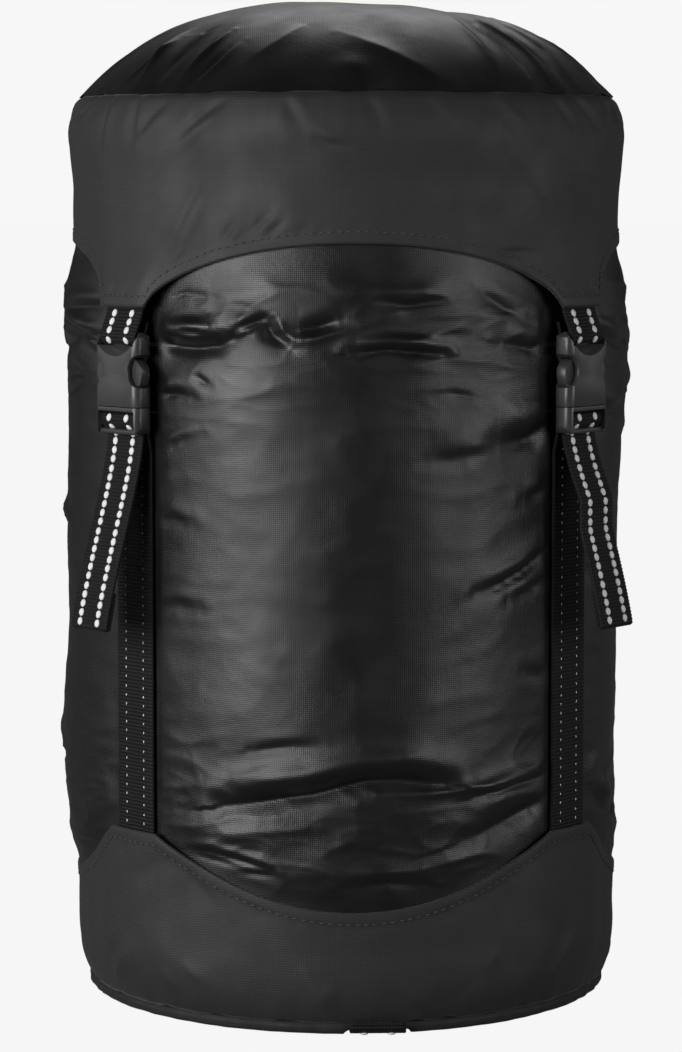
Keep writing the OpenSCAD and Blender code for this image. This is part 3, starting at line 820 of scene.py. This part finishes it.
# Webbing: 20 mm flat nylon ribbon with two rows of white tracer thread on its face. It makes the base handle,
# the four straps with their free tails, and the four loops that hold the buckles to the lid.
# Woven nylon webbing: close cross ribs and a corded edge, black and half dull.
RIB = 1.3
webbing_black = blank_material("woven_nylon_webbing")
tree = webbing_black.node_tree
thread = node(tree, "UVMap", uv_map="thread")
rib = node(tree, "TexWave", {"Vector": thread.outputs[0], "Scale": bands(RIB), "Distortion": 0.8,
                             "Detail": 1.0, "Detail Scale": 2.0}, bands_direction="Y")
end = node(tree, "TexWave", {"Vector": thread.outputs[0], "Scale": bands(1.1), "Distortion": 0.5},
           bands_direction="X")
knuckle = node(tree, "Math", {0: rib.outputs["Fac"], 1: end.outputs["Fac"]}, operation="MULTIPLY")
weave = node(tree, "Math", {0: rib.outputs["Fac"], 1: knuckle.outputs[0]}, operation="ADD")
shade = node(tree, "MapRange", {"Value": weave.outputs[0], "From Max": 2.0})
base = node(tree, "Mix", {"Factor": shade.outputs[0], "A": linear("#030304"), "B": linear("#0d0d0e")},
            data_type="RGBA")
relief = node(tree, "Bump", {"Height": weave.outputs[0], "Strength": 0.8, "Distance": 0.22 * MM})
rough = node(tree, "MapRange", {"Value": weave.outputs[0], "From Max": 2.0, "To Min": 0.75, "To Max": 0.52})
surface = node(tree, "BsdfPrincipled", {"Base Color": base.outputs["Result"], "Roughness": rough.outputs[0],
                                        "Normal": relief.outputs[0], "Specular IOR Level": 0.3,
                                        "Sheen Weight": 0.04, "Sheen Roughness": 0.4})
node(tree, "OutputMaterial", {"Surface": surface.outputs[0]})

# White polyester tracer yarn: plump bright floats of bundled filaments.
tracer_white = blank_material("white_polyester_tracer")
tree = tracer_white.node_tree
place = node(tree, "TexCoord")
strands = node(tree, "TexNoise", {"Vector": place.outputs["Object"], "Scale": 1 / (0.6 * MM), "Detail": 2.0})
tone = node(tree, "Mix", {"Factor": strands.outputs["Fac"], "A": linear("#d8d8d6"), "B": linear("#ffffff")},
            data_type="RGBA")
relief = node(tree, "Bump", {"Height": strands.outputs["Fac"], "Strength": 0.5, "Distance": 0.15 * MM})
surface = node(tree, "BsdfPrincipled", {"Base Color": tone.outputs["Result"], "Roughness": 0.6,
                                        "Normal": relief.outputs[0], "IOR": 1.57, "Sheen Weight": 0.2})
node(tree, "OutputMaterial", {"Surface": surface.outputs[0]})

WEB_STEP = RIB / 4
TRACER_ROW = 4.9
TRACER_PITCH = 3.3
TRACER = Vector((2.8, 3.05, 1.0))
BACK_TRACER = Vector((0.5, 1.0, 0.3))
SECTION_FACE = 14
EDGE_IN = 0.3
FACE_W = WEB_W - 2 * EDGE_IN
SECTION = ([(-WEB_W / 2 + EDGE_IN + FACE_W * i / SECTION_FACE, 1) for i in range(SECTION_FACE + 1)]
           + [(WEB_W / 2, 0)]
           + [(WEB_W / 2 - EDGE_IN - FACE_W * i / SECTION_FACE, -1) for i in range(SECTION_FACE + 1)]
           + [(-WEB_W / 2, 0)])


def even_line(points, step):
    """Points spaced evenly along a line of flat points, each with the direction to its left."""
    places = []
    run = 0
    for a, b in zip(points, points[1:]):
        length = (b - a).length
        while run < length:
            places.append(a.lerp(b, run / length))
            run += step
        run -= length
    places.append(points[-1])
    ends = len(places) - 1
    runs = [(places[min(i + 2, ends)] - places[max(i - 2, 0)]).normalized() for i in range(ends + 1)]
    return [(p, Vector((-d.y, d.x))) for p, d in zip(places, runs)]


def web_place(turn, across, flat):
    """The place of a point of a webbing drawn at the front, as (out, up), on the strap at an angle."""
    return Vector((across * math.cos(turn) + flat.x * math.sin(turn),
                   across * math.sin(turn) - flat.x * math.cos(turn), flat.y))


def add_float(bm, turn, across, flat, left, size):
    """One float of tracer thread, half sunk in the face of the webbing."""
    run = Vector((left.y, -left.x))
    axes = [web_place(turn, 1, Vector((0, 0))), web_place(turn, 0, run), web_place(turn, 0, left)]
    frame_of = Matrix([axis * width * MM / 2 for axis, width in zip(axes, size)]).transposed().to_4x4()
    middle = Matrix.Translation(web_place(turn, across, flat) * MM)
    bmesh.ops.create_uvsphere(bm, u_segments=8, v_segments=6, radius=1, matrix=middle @ frame_of)


def fill_ends(bm):
    """Closes the open ends of a tube."""
    bmesh.ops.holes_fill(bm, edges=[edge for edge in bm.edges if edge.is_boundary])
    bmesh.ops.recalc_face_normals(bm, faces=bm.faces)


RIB_CORD = 0.016
RIB_DIP = 0.12


def webbing(name, points, degrees, face=1, shown=(0, 1), back=(0, 1)):
    """A ribbon of webbing along points drawn as (out, up). face is 1 where its tracer side lies left of the
    line; shown and back are the shares of the line on which the tracers of that side and its back show."""
    line = even_line(points, WEB_STEP)
    rows = len(line) - 1
    turn = math.radians(degrees)

    def shape(across, up):
        i = round(up * rows)
        k = round(across * len(SECTION)) % len(SECTION)
        flat, left = line[i]
        wide, side = SECTION[k]
        ribbed = math.cos(2 * math.pi * i * WEB_STEP / RIB)
        corded = 1 + RIB_CORD * ribbed * (abs(wide) > WEB_W / 2 - 1)
        thick = WEB_T / 2 * (1 - RIB_DIP * (1 - ribbed) / 2)
        place = web_place(turn, wide * corded, flat + left * side * thick)
        return place, (across * 2 * (WEB_W + WEB_T), i * WEB_STEP)

    bm = cloth_grid(len(SECTION), rows, shape, closed=True)
    fill_ends(bm)
    length = rows * WEB_STEP
    floats = bmesh.new()
    for (first, last), side, size in ((shown, face, TRACER), (back, -face, BACK_TRACER)):
        count = int((last - first) * length / TRACER_PITCH)
        for n in range(count):
            flat, left = line[int((first * length + (n + 0.5) * TRACER_PITCH) / WEB_STEP)]
            for row in (-TRACER_ROW, TRACER_ROW):
                add_float(floats, turn, row, flat + left * side * (WEB_T / 2 + 0.05), left * side, size)
    for polygon in floats.faces:
        polygon.material_index = 1
    tracers = bpy.data.meshes.new("tracers")
    floats.to_mesh(tracers)
    floats.free()
    bm.from_mesh(tracers)
    bpy.data.meshes.remove(tracers)
    return piece(name, bm, webbing_black, tracer_white)


def bend(middle, radius, first, last, count):
    """Points of an arc, from one angle to another in degrees."""
    turns = [math.radians(first + (last - first) * i / count) for i in range(count + 1)]
    return [middle + radius * Vector((math.cos(t), math.sin(t))) for t in turns]


# Base handle: one length of the same webbing, which runs under the foot from front to back as a grip.
# Both of its ends are sewn into the foot seam.
HANDLE_BEND = 2.0
HANDLE_LOW = 0.6
run_out = HANDLE_FRONT - WEB_T / 2
run_low = HANDLE_LOW + WEB_T / 2
front_turn = bend(Vector((run_out - HANDLE_BEND, run_low + HANDLE_BEND)), HANDLE_BEND, -90, 0, 8)
half_line = front_turn + [Vector((run_out, HANDLE_TOP))]
handle_line = [Vector((-p.x, p.y)) for p in reversed(half_line)] + half_line
base_handle = webbing("base_handle_webbing", handle_line, 0, face=-1)
base_handle.data.transform(Matrix.Translation((HANDLE_X * MM, 0, 0)))
settle(base_handle, "sack", "webbing", "base_handle")


# Mouth: the top edge of the ripstop collar, turned over and sewn down as a tunnel that the drawcord runs in.
# The cord draws it in, so its gathers bunch the cloth.
HEM_GAP = 22
HEM_CUT = 25
HEM_CLOTH_T = 0.6
HEM_BUNCH = 0.35
HEM_UNEVEN = 0.25
HEM_OPEN = math.asin(HEM_GAP / 2 / MOUTH_R)


def hem_shape(across, up):
    angle = HEM_OPEN + (2 * math.pi - 2 * HEM_OPEN) * across
    turn = 2 * math.pi * up
    bunch = HEM_BUNCH * math.cos(PLEATS * 1.5 * angle) + HEM_UNEVEN * ring_noise(angle, 9, math.cos(turn))
    tube = HEM_R - 0.4 + bunch
    place = around(angle, MOUTH_R + tube * math.cos(turn), HEM_Z + tube * math.sin(turn))
    return place, (angle * MOUTH_R, up * HEM_CUT)


bm = cloth_grid(330, 20, hem_shape, closed=True)
mouth_hem = walled(piece("mouth_hem_tunnel", bm, ripstop), HEM_CLOTH_T)
settle(mouth_hem, "sack", "seam_binding", "mouth_hem")

# Drawcord: braided polyester, 2.6 mm, which leaves the tunnel at the front, passes the cord lock and ends in
# a knot.
# Braided polyester cord: fine crossing plaits, black with a dull lustre.
CORD_D = 2.6
braid = blank_material("braided_polyester_cord")
tree = braid.node_tree
thread = node(tree, "UVMap", uv_map="thread")
plait = []
for slant in (0.8, -0.8):
    laid = node(tree, "Mapping", {"Vector": thread.outputs[0], "Rotation": (0, 0, slant)})
    plait.append(node(tree, "TexWave", {"Vector": laid.outputs[0], "Scale": bands(1.0)}, bands_direction="X"))
cross = node(tree, "Math", {0: plait[0].outputs["Fac"], 1: plait[1].outputs["Fac"]}, operation="MULTIPLY")
tone = node(tree, "Mix", {"Factor": cross.outputs[0], "A": linear("#0c0c0d"), "B": linear("#2c2c2d")},
            data_type="RGBA")
relief = node(tree, "Bump", {"Height": cross.outputs[0], "Strength": 0.8, "Distance": 0.25 * MM})
surface = node(tree, "BsdfPrincipled", {"Base Color": tone.outputs["Result"], "Roughness": 0.6,
                                        "Normal": relief.outputs[0], "IOR": 1.57})
node(tree, "OutputMaterial", {"Surface": surface.outputs[0]})

# Route of the right end from the tunnel to the knot: right of centre, out from the tunnel, above its middle.
# It is straight where the lock slides.
CORD_ROUTE = ((8.4, 0.2, 0), (6.4, 1.4, 2), (4.2, 3.2, 4.2), (2.5, 5.4, 5.8), (1.4, 8, 6.3), (1.4, 14, 6.3),
              (1.4, 21, 6.3), (1.4, 31, 6.3), (1.4, 34, 5.6), (1.4, 36.5, 4.4), (1.4, 38.5, 4), (1.4, 41, 4))
CORD_SIDES = 12
CORD_STEP = 0.7


def cord_tube(name, route, material, thick=CORD_D, upright=Vector((0, 0, 1))):
    """A round cord along points in millimetres, eased between them and closed at its ends."""
    fine = []
    for i in range(len(route) - 1):
        before = route[max(i - 1, 0)]
        after = route[min(i + 2, len(route) - 1)]
        a = route[i]
        b = route[i + 1]
        steps = max(2, round((b - a).length / CORD_STEP))
        for n in range(steps):
            t = n / steps
            fine.append(0.5 * (2 * a + (b - before) * t + (2 * before - 5 * a + 4 * b - after) * t * t
                               + (3 * a - before - 3 * b + after) * t ** 3))
    fine.append(route[-1])
    ends = len(fine) - 1
    runs = [(fine[min(i + 1, ends)] - fine[max(i - 1, 0)]).normalized() for i in range(ends + 1)]
    walked = [0]
    for a, b in zip(fine, fine[1:]):
        walked.append(walked[-1] + (b - a).length)

    def shape(across, up):
        i = round(up * ends)
        turn = 2 * math.pi * across
        side = runs[i].cross(upright).normalized()
        rise = side.cross(runs[i])
        place = fine[i] + thick / 2 * (math.cos(turn) * side + math.sin(turn) * rise)
        return place, (across * math.pi * thick, walked[i])

    bm = cloth_grid(CORD_SIDES, ends, shape, closed=True)
    fill_ends(bm)
    return piece(name, bm, material), fine, walked[-1]


for side, label in ((1, "right"), (-1, "left")):
    route = [Vector((side * x, -MOUTH_R - out, HEM_Z + up)) for x, out, up in CORD_ROUTE]
    cord_end, line, length = cord_tube("drawcord_end_" + label, route, braid)
    settle(cord_end, "sack", "cord", "drawcord")
TUNNEL_STEPS = 60
TUNNEL_LAP = 0.02
first = Vector((CORD_ROUTE[0][0], -MOUTH_R - CORD_ROUTE[0][1], HEM_Z))
last = Vector((-first.x, first.y, first.z))
tunnel_route = [first]
for i in range(TUNNEL_STEPS + 1):
    angle = HEM_OPEN - TUNNEL_LAP + (2 * math.pi - 2 * HEM_OPEN + 2 * TUNNEL_LAP) * i / TUNNEL_STEPS
    tunnel_route.append(around(angle, MOUTH_R, HEM_Z))
tunnel_route.append(last)
settle(cord_tube("drawcord_in_tunnel", tunnel_route, braid)[0], "sack", "cord", "drawcord")

# Knot: an overhand knot in the same braided cord, tied with both of its ends together, so that the cord lock
# can't slip off.
low, high = millimetres("drawcord_knot")
KNOT = (low + high) / 2
KNOT_R = (high.x - low.x) / 2
KNOT_STEPS = 72
KNOT_DEEP = 1.6
knot_route = []
for i in range(KNOT_STEPS + 1):
    t = 2 * math.pi * i / KNOT_STEPS
    swing = (KNOT_R - CORD_D / 2) * (0.62 + 0.38 * math.cos(3 * t))
    turned = Vector((swing * math.cos(2 * t), KNOT_DEEP * math.sin(3 * t), swing * math.sin(2 * t)))
    knot_route.append(KNOT + turned)
settle(cord_tube("drawcord_knot_tied", knot_route, braid)[0], "sack", "cord", "drawcord_knot")


# Cord lock: a moulded barrel with a sprung button that pinches the two cord ends in its cross hole.
# Moulded acetal: black, with the fine matt grain of a spark-eroded mould and smoother rounded edges.
MOULD_FLOW = 9


def moulded(name, colours, roughness, grain):
    """A moulded plastic whose mould grain is grain millimetres across."""
    material = blank_material(name)
    tree = material.node_tree
    place = node(tree, "TexCoord")
    pits = node(tree, "TexNoise", {"Vector": place.outputs["Object"], "Scale": 1 / (grain * MM),
                                   "Detail": 3.0})
    flow = node(tree, "TexNoise", {"Vector": place.outputs["Object"], "Scale": 1 / (MOULD_FLOW * MM),
                                   "Detail": 3.0})
    rough = node(tree, "MapRange", {"Value": flow.outputs["Fac"], "From Min": 0.3, "From Max": 0.7,
                                    "To Min": roughness - 0.06, "To Max": roughness + 0.06})
    skin = node(tree, "Bump", {"Height": pits.outputs["Fac"], "Strength": 0.25, "Distance": 0.06 * MM})
    base = node(tree, "Mix", {"Factor": flow.outputs["Fac"], "A": linear(colours[0]),
                              "B": linear(colours[1])}, data_type="RGBA")
    surface = node(tree, "BsdfPrincipled", {"Base Color": base.outputs["Result"],
                                            "Roughness": rough.outputs[0], "Normal": skin.outputs[0],
                                            "IOR": 1.48})
    node(tree, "OutputMaterial", {"Surface": surface.outputs[0]})
    return material


acetal = moulded("moulded_acetal", ("#343435", "#3c3c3d"), 0.36, 0.5)
EDGE_ROUND = 0.35
LOCK_ROUND = 0.4
EDGE_ANGLE = 35
WELD_GAP = 0.002


def dress(cad_node, material, edge):
    """Gives a CAD node its material, with its sharp edges rounded as a mould leaves them."""
    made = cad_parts[cad_node]
    made.data.materials.clear()
    made.data.materials.append(material)
    weld = made.modifiers.new("weld", "WELD")
    weld.merge_threshold = WELD_GAP * MM
    rounding = made.modifiers.new("edge", "BEVEL")
    rounding.width = edge * MM
    rounding.segments = 3
    rounding.limit_method = "ANGLE"
    rounding.angle_limit = math.radians(EDGE_ANGLE)
    rounding.harden_normals = True
    for polygon in made.data.polygons:
        polygon.use_smooth = True


for part in ("cord_lock_body", "cord_lock_button"):
    dress(part, acetal, LOCK_ROUND)

# Spring: a coil of steel wire that stands loose in the lock's barrel and pushes the button up.
# Drawn spring steel: bright, with fine draw lines that break its shine.
spring_wire = blank_material("drawn_spring_steel")
tree = spring_wire.node_tree
place = node(tree, "TexCoord")
lines = node(tree, "TexNoise", {"Vector": place.outputs["Object"], "Scale": 1 / (0.3 * MM), "Detail": 2.0})
rough = node(tree, "MapRange", {"Value": lines.outputs["Fac"], "To Min": 0.22, "To Max": 0.42})
surface = node(tree, "BsdfPrincipled", {"Base Color": linear("#b8b8b6"), "Metallic": 1.0,
                                        "Roughness": rough.outputs[0]})
node(tree, "OutputMaterial", {"Surface": surface.outputs[0]})
low, high = millimetres("cord_lock_spring")
WIRE_D = 0.7
COILS = 4
COIL_STEPS = 24
middle = (low + high) / 2
coil_r = (high.z - low.z - WIRE_D) / 2
coil = []
for i in range(COILS * COIL_STEPS + 1):
    t = 2 * math.pi * i / COIL_STEPS
    along = low.x + WIRE_D / 2 + (high.x - low.x - WIRE_D) * i / (COILS * COIL_STEPS)
    coil.append(Vector((along, middle.y + coil_r * math.cos(t), middle.z + coil_r * math.sin(t))))
spring = cord_tube("cord_lock_coil", coil, spring_wire, WIRE_D, Vector((1, 0, 0)))[0]
settle(spring, "cord_lock", "spring_steel", "cord_lock_spring")
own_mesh(spring)


# Straps: each webbing is sewn under a tab of the base cap, runs up the body, turns over the middle bar of its
# ladder lock and hangs down behind the end bar as a free tail with a sewn hem.
STRAP_BACK = BODY_R + 0.2
BUCKLE_Z = 222.5
BUCKLE_T = 8
BUCKLE_MID = STRAP_BACK + WEB_T + 0.5 + BUCKLE_T / 2
MID_BAR = Vector((BUCKLE_MID, BUCKLE_Z - 4.5))
WRAP_R = 2.1
WRAP_IN = 165
STRAP_LOW = CAP_TAB - 12
STRAP_OUT = STRAP_BACK + WEB_T / 2
END_BAR = Vector((BUCKLE_MID + 1.4, BUCKLE_Z - 8.7))
BEHIND_END = END_BAR - Vector((2.546, 0))
TAIL_LEN = 68
TAIL_OUT = 16
TAIL_TIP = Vector((BUCKLE_MID + TAIL_OUT, BUCKLE_Z - 9.7 - TAIL_LEN))
HEM_FOLD = 13
KINK = 3.0
KINK_AT = 0.42
KINK_END = 0.56
KINK_BACK = 0.14
STRAP_EASE = Vector((0, 4))
wrap_start = MID_BAR + WRAP_R * Vector((math.cos(math.radians(WRAP_IN)), math.sin(math.radians(WRAP_IN))))
strap_lean = Vector((math.sin(math.radians(WRAP_IN)), -math.cos(math.radians(WRAP_IN))))
lean_end = wrap_start - strap_lean * ((wrap_start.x - STRAP_OUT) / strap_lean.x)
to_end = BEHIND_END - MID_BAR
wrap_out = math.degrees(math.atan2(to_end.y, to_end.x) + math.acos(WRAP_R / to_end.length))


def curve(a, b, c, d, count):
    """Points of a cubic curve from a to d."""
    shares = [i / count for i in range(count + 1)]
    return [(1 - t) ** 3 * a + 3 * t * (1 - t) ** 2 * b + 3 * t * t * (1 - t) * c + t ** 3 * d
            for t in shares]


def kinked(points, out):
    """The set of a tail that was once folded: it stands out above the fold and comes back below it."""
    made = []
    for i, p in enumerate(points):
        t = i / (len(points) - 1)
        bow = (t / KINK_AT) ** 1.5 if t < KINK_AT else max(0, (KINK_END - t) / KINK_BACK)
        made.append(p + Vector((out * bow, 0)))
    return made


strap_line = [Vector((STRAP_OUT, STRAP_LOW)), lean_end - STRAP_EASE]
strap_line += curve(lean_end - STRAP_EASE, lean_end, lean_end, lean_end + strap_lean * 4, 8)[1:]
strap_line.append(wrap_start - 0.3 * strap_lean)
for label, degrees in STRAPS.items():
    strap = webbing("strap_webbing_" + label, strap_line, degrees, shown=(0, 0))
    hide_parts("strap_" + label)
    turn = math.radians(degrees)
    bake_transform(strap)

    fall = curve(BEHIND_END, BEHIND_END - Vector((0, TAIL_LEN * 0.2)),
                 TAIL_TIP + Vector((-TAIL_OUT * 0.3, TAIL_LEN * 0.35)), TAIL_TIP, 40)
    fall = kinked(fall, KINK if label == "front_right" else 0)
    down = (fall[-1] - fall[-3]).normalized()
    inner = Vector((down.y, -down.x))
    fold = [TAIL_TIP + inner * WEB_T * 0.55 + down * 0.6, TAIL_TIP + inner * WEB_T * 1.1]
    fold.append(fold[-1] - down * HEM_FOLD)
    tail_line = bend(MID_BAR, WRAP_R, WRAP_IN, wrap_out, 24) + fall + fold
    tail = webbing("tail_webbing_" + label, tail_line, degrees, shown=(0.04, 0.86), back=(0, 0))
    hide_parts("tail_" + label, "tail_end_" + label)
    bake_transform(tail)


# Buckles: side-release buckles moulded in acetal. The male half carries the ladder lock and two sprung arms
# that latch behind the bridges of the female half, which hangs from its loop on the lid.
for label in STRAPS:
    for part in ("female_", "male_", "arm_l_", "arm_r_"):
        dress(part + label, acetal, EDGE_ROUND)


# Lid skirt: a band of matt woven nylon, cut in arches between the four strap tabs, with a turned hem along
# its lower edge. Its top is gathered a little into the crown seam.
SKIRT_IN = 5
SKIRT_ROUND = 18
# Folds of the skirt: darts that fall from the crown seam, pulls towards the tabs and puckers above the hem.
skirt_folds = [
    (((-58.5, 336), (-59, 326), (-60, 314)), 1.6, 1.3, 0.9),
    (((-49.2, 334), (-49, 326), (-48.6, 317)), 1.5, 1.4, 0.9),
    (((-41, 330), (-44, 325), (-48, 318)), 1.5, 1.1, 0.8),
    (((-26.8, 331), (-32, 325), (-37.5, 317)), 1.5, 1.3, 1.0),
    (((-14.4, 333), (-12.6, 327), (-10.6, 321)), 1.8, 0.9, 0.6),
    (((-9.4, 319), (-6, 315.6), (-1.8, 314.4)), 1.6, 0.9, 0.5),
    (((-31.5, 306), (-36, 291), (-40, 277)), 2.0, 0.8, 0.7),
    (((-24, 290), (-27.2, 281)), 1.0, 0.9, 0.6),
    (((-17, 292), (-22, 283)), 1.1, 1.0, 0.7),
    (((-14, 289), (-17.6, 283.4)), 0.9, 0.8, 0.5),
    (((29, 277.6), (38, 278)), 1.0, 0.8, 0.6),
    (((30, 276), (35, 270.6)), 1.0, 0.7, 0.4),
    (((-64, 337), (-69, 331), (-75, 324)), 1.8, 1.2, 0.8),
    (((51, 335), (56, 328), (61, 320)), 1.8, 1.4, 0.9),
    (((44.6, 333), (47, 328), (49.4, 322)), 1.4, 1.1, 0.7),
    (((2, 333), (4, 326), (5, 318)), 2.0, 0.8, 0.4),
    (((14, 331), (17, 324), (18, 318)), 1.8, 0.7, 0.5),
    (((28, 332), (31, 324), (36, 316)), 1.7, 0.9, 0.6),
    (((34, 306), (40, 293), (44, 280)), 2.4, 0.7, 0.6),
]
draw = random.Random(31)
skirt_folds += seam_folds(draw, 34, 333, (62, 298), (-9, -22), (-5, 5), (1.3, 2.2), (0.6, 1.4), (0.3, 0.9))
skirt_folds += hem_puckers(draw, skirt_edge, 1)
skirt_folds = boxed([(flat_line(points), *rest) for points, *rest in skirt_folds])
SKIRT_WAVES = ((0.9, 36, (4, 0, 0)), (0.3, 13, (0, 0, 0)))
SKIRT_GATHER = 0.55
SEAM_PINCH = 0.9
SEAM_PINCH_H = 2.2
TAB_LIFT = 4.0
TAB_LIFT_H = 24


def tab_lift(angle, z):
    """How far a tab of the skirt stands off from the body, as the buckle on its loop holds it out."""
    near, half = strap_distance(angle)
    beside = 1 - smooth_step(WEB_W / 2 - 2, WEB_W / 2 + 12, near)
    return TAB_LIFT * beside * (1 - smooth_step(TAB_TIP, TAB_TIP + TAB_LIFT_H, z))


def seam_wave(angle):
    """How far the crown seam wanders up and down as its two cloths are eased together."""
    return 0.9 * ring_noise(angle, 6, 3) + 0.5 * ring_noise(angle, 17, 4)


def skirt_shape(across, up):
    angle = 2 * math.pi * (across - 0.5)
    edge = skirt_edge(angle)
    z = edge + (LID_Z - edge) * up + seam_wave(angle) * up ** 6
    drawn = SKIRT_IN * max(0, (z - LID_Z + SKIRT_ROUND) / SKIRT_ROUND) ** 2
    place = around(angle, LID_R, z)
    soft = soft_waves(place, SKIRT_WAVES)
    gather = SKIRT_GATHER * ring_noise(angle, 17, 7) * smooth_step(LID_Z - 22, LID_Z - 4, z)
    soft += gather + pulled_round(skirt_folds, angle, z)
    beside = tab_draw(angle) * (1 - smooth_step(LID_Z - 34, LID_Z - 8, z))
    pinch = SEAM_PINCH * smooth_step(LID_Z - SEAM_PINCH_H, LID_Z, z)
    out = LID_R - CLOTH_IN - drawn - beside + hem_step(z - edge)
    out += soft * smooth_step(0, HEM_FIRM, z - edge) - pinch + tab_lift(angle, z)
    return around(angle, out, z), (angle * LID_R, z)


lid_skirt = walled(piece("lid_skirt_cloth", cloth_grid(420, 56, skirt_shape, closed=True), oxford), CLOTH_T)
settle(lid_skirt, "lid", "matt_nylon", "lid_skirt")
hem_stitches("lid_skirt_stitches", skirt_shape, lambda angle: HEM_W / (LID_Z - skirt_edge(angle)), "lid")


# Crown: a round of coated ripstop, cut larger than the lid and eased into the seam, so that it domes over the
# load with radial tucks along its edge.
low, high = millimetres("lid_crown")
CROWN_R = high.x
CROWN_H = high.z - low.z
CROWN_FULL = 3.2
CROWN_FIRM = 20
# Folds of the crown on its flat cut, in millimetres right of and behind its middle: the front ones as ridges
# and valleys that run down to the seam, then tucks round the rest of the edge.
crown_folds = [
    (((-60, -44), (-70.8, -50.4), (-84, -50)), 1.5, -1.3, 0),
    (((-58, -36), (-66.9, -46.6), (-77.4, -60.8)), 1.6, -1.9, 0),
    (((-52, -48), (-60, -57), (-71, -68.5)), 3.2, 2.8, 0),
    (((-42, -58), (-49.2, -65), (-64, -76.6)), 1.5, -1.9, 0),
    (((-44, -70), (-52, -76), (-61, -79)), 1.6, 1.5, 0),
    (((-38, -68), (-46.7, -76.2), (-57.3, -80.7)), 2.2, -1.2, 0),
    (((-15, -66), (-25.9, -75.2), (-39.4, -82.2)), 4.0, -1.2, 0),
    (((-6, -74), (4.9, -81.7), (20, -87.9), (35.1, -92.4)), 4.0, -1.3, 0),
    (((36, -50), (40.8, -59.7), (54, -83.7)), 1.8, -1.2, 0),
    (((44, -48), (54, -58), (64, -73)), 2.4, 1.8, 0),
    (((40, -36), (48.4, -44.5), (62.7, -55.5), (73.2, -67.9)), 1.6, -1.9, 0),
    (((54, -38), (66, -49), (77, -61.5)), 1.8, 1.8, 0),
    (((48, -22), (57.1, -31.3), (70.8, -42.5), (80.4, -55.6)), 1.5, -1.6, 0),
    (((54, -10), (64.4, -18.5), (79.3, -30.2), (90, -36.8)), 1.6, -1.6, 0),
]
draw = random.Random(5)
for start in range(26):
    turn = math.radians(72 + 8.3 * start + draw.uniform(-3, 3))
    tilt = turn + math.radians(draw.uniform(-9, 9))
    inner = CROWN_R * draw.uniform(0.58, 0.8)
    outer = CROWN_R * 0.97
    line = ((inner * math.sin(tilt), -inner * math.cos(tilt)),
            (outer * math.sin(turn), -outer * math.cos(turn)))
    crown_folds.append((line, draw.uniform(1.5, 3.0), draw.uniform(-1.8, 2.2), draw.uniform(0, 0.6)))
crown_folds = boxed(crown_folds)
# Broad swellings of the load under the crown: place, how far they rise, and their reach.
CROWN_SWELLS = ((-16, 0, 1.7, 26), (30, -6, -1.8, 16), (52, 4, 0.9, 16), (-50, 30, 1.2, 24),
                (10, 56, 1.4, 22))
CROWN_WAVES = ((1.3, 46, (2, 7, 0)), (0.5, 19, (0, 0, 0)))
# The lump that the cord lock makes under the front edge: how far it rises, its place, and its reach each way.
LUMP = 1.5
LUMP_X = -1.9
LUMP_Y = -92.5
LUMP_WIDE = 6
LUMP_DEEP = 4.2


def crown_shape(across, up):
    x, y = on_disc(across, up)
    rho = math.hypot(x, y)
    angle = math.atan2(x, -y)
    x *= CROWN_R
    y *= CROWN_R
    rise = CROWN_H * (1 - rho ** CROWN_FULL)
    place = Vector((x, y, 0))
    soft = soft_waves(place, CROWN_WAVES)
    for right, behind, out, reach in CROWN_SWELLS:
        soft += out * math.exp(-((x - right) ** 2 + (y - behind) ** 2) / reach ** 2)
    lump = LUMP * math.exp(-((x - LUMP_X) / LUMP_WIDE) ** 2 - ((y - LUMP_Y) / LUMP_DEEP) ** 2)
    soft += pulled(crown_folds, x, y) + lump
    edge = rho ** CROWN_FIRM
    z = LID_Z + rise + soft * (1 - edge) + seam_wave(angle) * edge
    return around(angle, rho * CROWN_R, z), (x, y)


lid_crown = piece("lid_crown_cloth", cloth_grid(300, 300, crown_shape), ripstop)
settle(lid_crown, "lid", "ripstop", "lid_crown")


# Loops: short webbings sewn under the skirt's tabs, turned round the bar of each female half and back up
# behind. The buckle holds them out from the body.
BAR = Vector((BUCKLE_MID, BUCKLE_Z + 25.25))
LOOP_R = 2.3
LOOP_OUT = BODY_R + 0.4 + WEB_T / 2
LOOP_TOP = TAB_TIP + 18
LOOP_HELD = 3.6
LOOP_OFF = -165
LOOP_LEAN = Vector((-0.25, 0.97))
loop_bend = Vector((LOOP_OUT + LOOP_HELD, TAB_TIP - WEB_T))
to_bend = loop_bend - BAR
loop_on = math.degrees(math.atan2(to_bend.y, to_bend.x) - math.acos(LOOP_R / to_bend.length))
leaving = BAR + LOOP_R * Vector((math.cos(math.radians(LOOP_OFF)), math.sin(math.radians(LOOP_OFF))))
back_end = leaving + LOOP_LEAN * (to_bend.y - 3.2)
entry = bend(BAR, LOOP_R, loop_on, LOOP_OFF, 24)
upper = [Vector((LOOP_OUT, LOOP_TOP)), Vector((LOOP_OUT, LOOP_TOP - 4)), loop_bend + Vector((0, 1.5))]
easing = curve(upper[-1], loop_bend + Vector((0, 0.4)), loop_bend.lerp(entry[0], 0.1),
               loop_bend.lerp(entry[0], 0.35), 6)
loop_line = upper + easing[1:] + entry + [back_end]
for label, degrees in STRAPS.items():
    loop = webbing("loop_webbing_" + label, loop_line, degrees, shown=(0.3, 0.78), back=(0, 0))
    settle(loop, "lid", "webbing", "loop_" + label)
